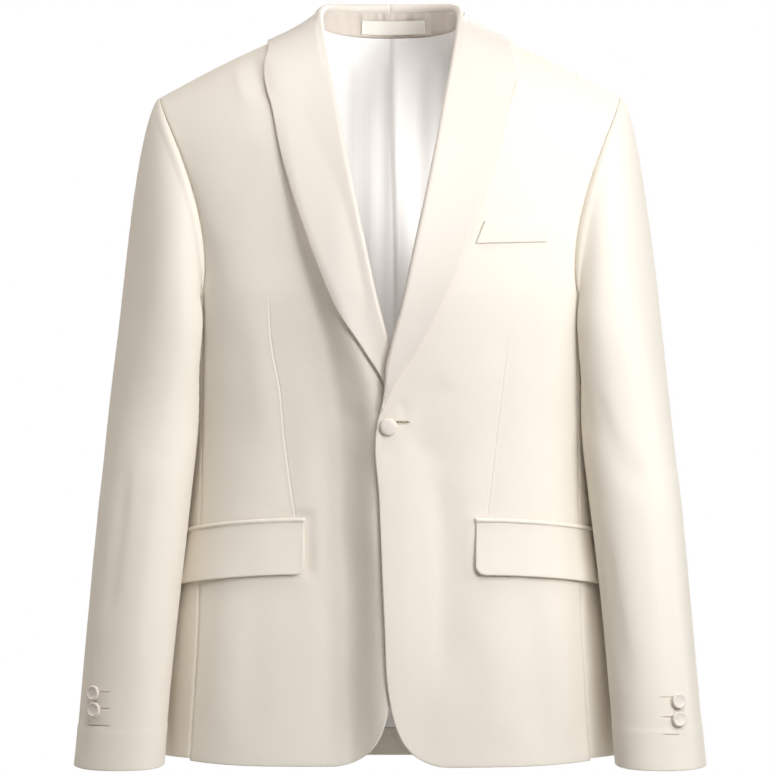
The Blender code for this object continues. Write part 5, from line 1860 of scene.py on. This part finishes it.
class JACKET_OT_stitches(JacketOperator):
    """Sews the edges of the front buttonhole and of the cuffs' holes"""

    bl_idname = "jacket.stitches"
    bl_label = "Stitches"

    def execute(self, context):
        sizes = context.scene.jacket_sizes
        skin = Body.skin("left")
        flat, flat_ways = purl_ring(*BUTTONHOLE_SPAN, BUTTONHOLE_Z, *FRONT_PURL)
        places, ways = [], []
        for (x, z), (right, up) in zip(flat, flat_ways):
            place, out = skin.front(x, z, lift=0.0001)
            ahead, _ = skin.front(x + right * 0.0002, z + up * 0.0002, lift=0.0001)
            way = ahead - place
            way = way - out * float(np.dot(way, out))
            places.append(place)
            ways.append(unit(way))
        front = stitched("front_buttonhole_stitches", places, ways, sizes.stitch, sizes.thread)
        declare(front)
        for side, sign in (("left", 1.0), ("right", -1.0)):
            skin = Skin([Body.panel(f"topsleeve_{side}")[0]])
            flip = np.array((sign, 1.0, 1.0))
            places, ways = [], []
            for height, low, high in CUFF_HOLES[side]:
                for (x, z), (right, up) in zip(*purl_ring(low, high, height, *CUFF_PURL)):
                    place, out = skin.front(x, z, lift=0.0001)
                    way = np.array((right, 0.0, up)) - out * float(np.dot((right, 0.0, up), out))
                    places.append(place * flip)
                    ways.append(unit(way) * flip)
            short, thin = 0.55 * sizes.stitch, 0.8 * sizes.thread
            declare(stitched(f"cuff_stitches_{side}", places, ways, short, thin))
        return {"FINISHED"}


class JACKET_OT_stage(JacketOperator):
    """Sets the floor, the light and the camera"""

    bl_idname = "jacket.stage"
    bl_label = "Stage"

    @staticmethod
    def pale_to_eye(tree):
        """Makes the floor pale where it is seen, without its light falling on the cloth."""
        return {"Emission Strength": add_node(tree, "ShaderNodeLightPath").outputs["Is Camera Ray"]}

    @staticmethod
    def add_light(name, place, way, size, share, distance, colour):
        """A round soft light that shines back along way, and gives a white surface at a distance
        this share of full brightness."""
        lamp = bpy.data.lights.new(name, "AREA")
        lamp.shape, lamp.size, lamp.color = "DISK", size, linear(colour)
        lamp.energy = share * math.pi**2 * distance**2
        light = bpy.data.objects.new(name, lamp)
        light.location, light.rotation_euler = place, way.to_track_quat("Z", "Y").to_euler()
        bpy.context.scene.collection.objects.link(light)

    def execute(self, context):
        scene = context.scene
        around = np.linspace(0, TURN, FLOOR_SIDES, endpoint=False)
        rim = points(FLOOR_RADIUS * np.cos(around), FLOOR_RADIUS * np.sin(around), FLOOR_Z)
        mesh = bpy.data.meshes.new("floor")
        mesh.from_pydata(rim.tolist(), [], [tuple(range(FLOOR_SIDES))])
        paint = {
            "Base Color": (*linear("#DAD8D5"), 1.0),
            "Roughness": 0.7,
            "Emission Color": (*linear("#C9C7C4"), 1.0),
        }
        add_piece("floor", mesh, material("painted_floor", paint, self.pale_to_eye))
        for name, aside, above, distance, size, share, colour in LIGHTS:
            aside, above = math.radians(aside), math.radians(above)
            level = math.cos(above)
            way = Vector((math.sin(aside) * level, -math.cos(aside) * level, math.sin(above)))
            place = Vector(LIT_PLACE) + way * distance
            self.add_light(name, place, way, size, share, distance, colour)
        hidden, lit = Vector(INSIDE_LIGHT), Vector(INSIDE_LIT)
        way = (hidden - lit).normalized()
        self.add_light("inside_light", hidden, way, 0.08, 0.75, 0.16, "#FFFFFF")
        world = bpy.data.worlds.new("studio")
        scene.world = world
        world.use_nodes = True
        tree = world.node_tree
        tree.nodes.clear()
        seen = add_node(tree, "ShaderNodeLightPath").outputs["Is Camera Ray"]
        plain = {"Color": (1.0, 1.0, 1.0, 1.0)}
        white = add_node(tree, "ShaderNodeBackground", {**plain, "Strength": 1.0}).outputs[0]
        soft = add_node(tree, "ShaderNodeBackground", {**plain, "Strength": 0.04}).outputs[0]
        mixed = add_node(tree, "ShaderNodeMixShader", {0: seen, 1: soft, 2: white})
        add_node(tree, "ShaderNodeOutputWorld", {"Surface": mixed.outputs["Shader"]})
        scene.view_settings.view_transform = "Standard"
        lens = bpy.data.cameras.new("camera")
        lens.lens, lens.sensor_width, lens.clip_end = CAMERA_LENS, 36.0, 60.0
        camera = bpy.data.objects.new("camera", lens)
        camera.location, camera.rotation_euler = CAMERA_PLACE, (math.pi / 2, 0.0, 0.0)
        scene.collection.objects.link(camera)
        scene.camera = camera
        return {"FINISHED"}


OPERATORS = (
    JACKET_OT_body,
    JACKET_OT_sleeves,
    JACKET_OT_shawl,
    JACKET_OT_inside,
    JACKET_OT_pockets,
    JACKET_OT_buttons,
    JACKET_OT_stitches,
    JACKET_OT_stage,
)


class JACKET_PT_panel(bpy.types.Panel):
    """The jacket's sizes, colours and pieces"""

    bl_idname = "JACKET_PT_panel"
    bl_label = "Suit jacket"
    bl_space_type = "VIEW_3D"
    bl_region_type = "UI"
    bl_category = "Jacket"

    def draw(self, context):
        for group in (context.scene.jacket_sizes, context.scene.jacket_colours):
            column = self.layout.column(align=True)
            for name in type(group).__annotations__:
                column.prop(group, name)
        column = self.layout.column()
        for operator in OPERATORS:
            column.operator(operator.bl_idname)


CLASSES = (JacketSizes, JacketColours, *OPERATORS, JACKET_PT_panel)


def register():
    """Adds the settings, the operators and the panel."""
    for kind in CLASSES:
        bpy.utils.register_class(kind)
    bpy.types.Scene.jacket_sizes = PointerProperty(type=JacketSizes)
    bpy.types.Scene.jacket_colours = PointerProperty(type=JacketColours)


def unregister():
    """Takes them away again."""
    del bpy.types.Scene.jacket_colours
    del bpy.types.Scene.jacket_sizes
    for kind in reversed(CLASSES):
        bpy.utils.unregister_class(kind)


def main():
    """Builds the jacket."""
    register()
    for operator in OPERATORS:
        group, name = operator.bl_idname.split(".")
        getattr(getattr(bpy.ops, group), name)()


if __name__ == "__main__":
    main()
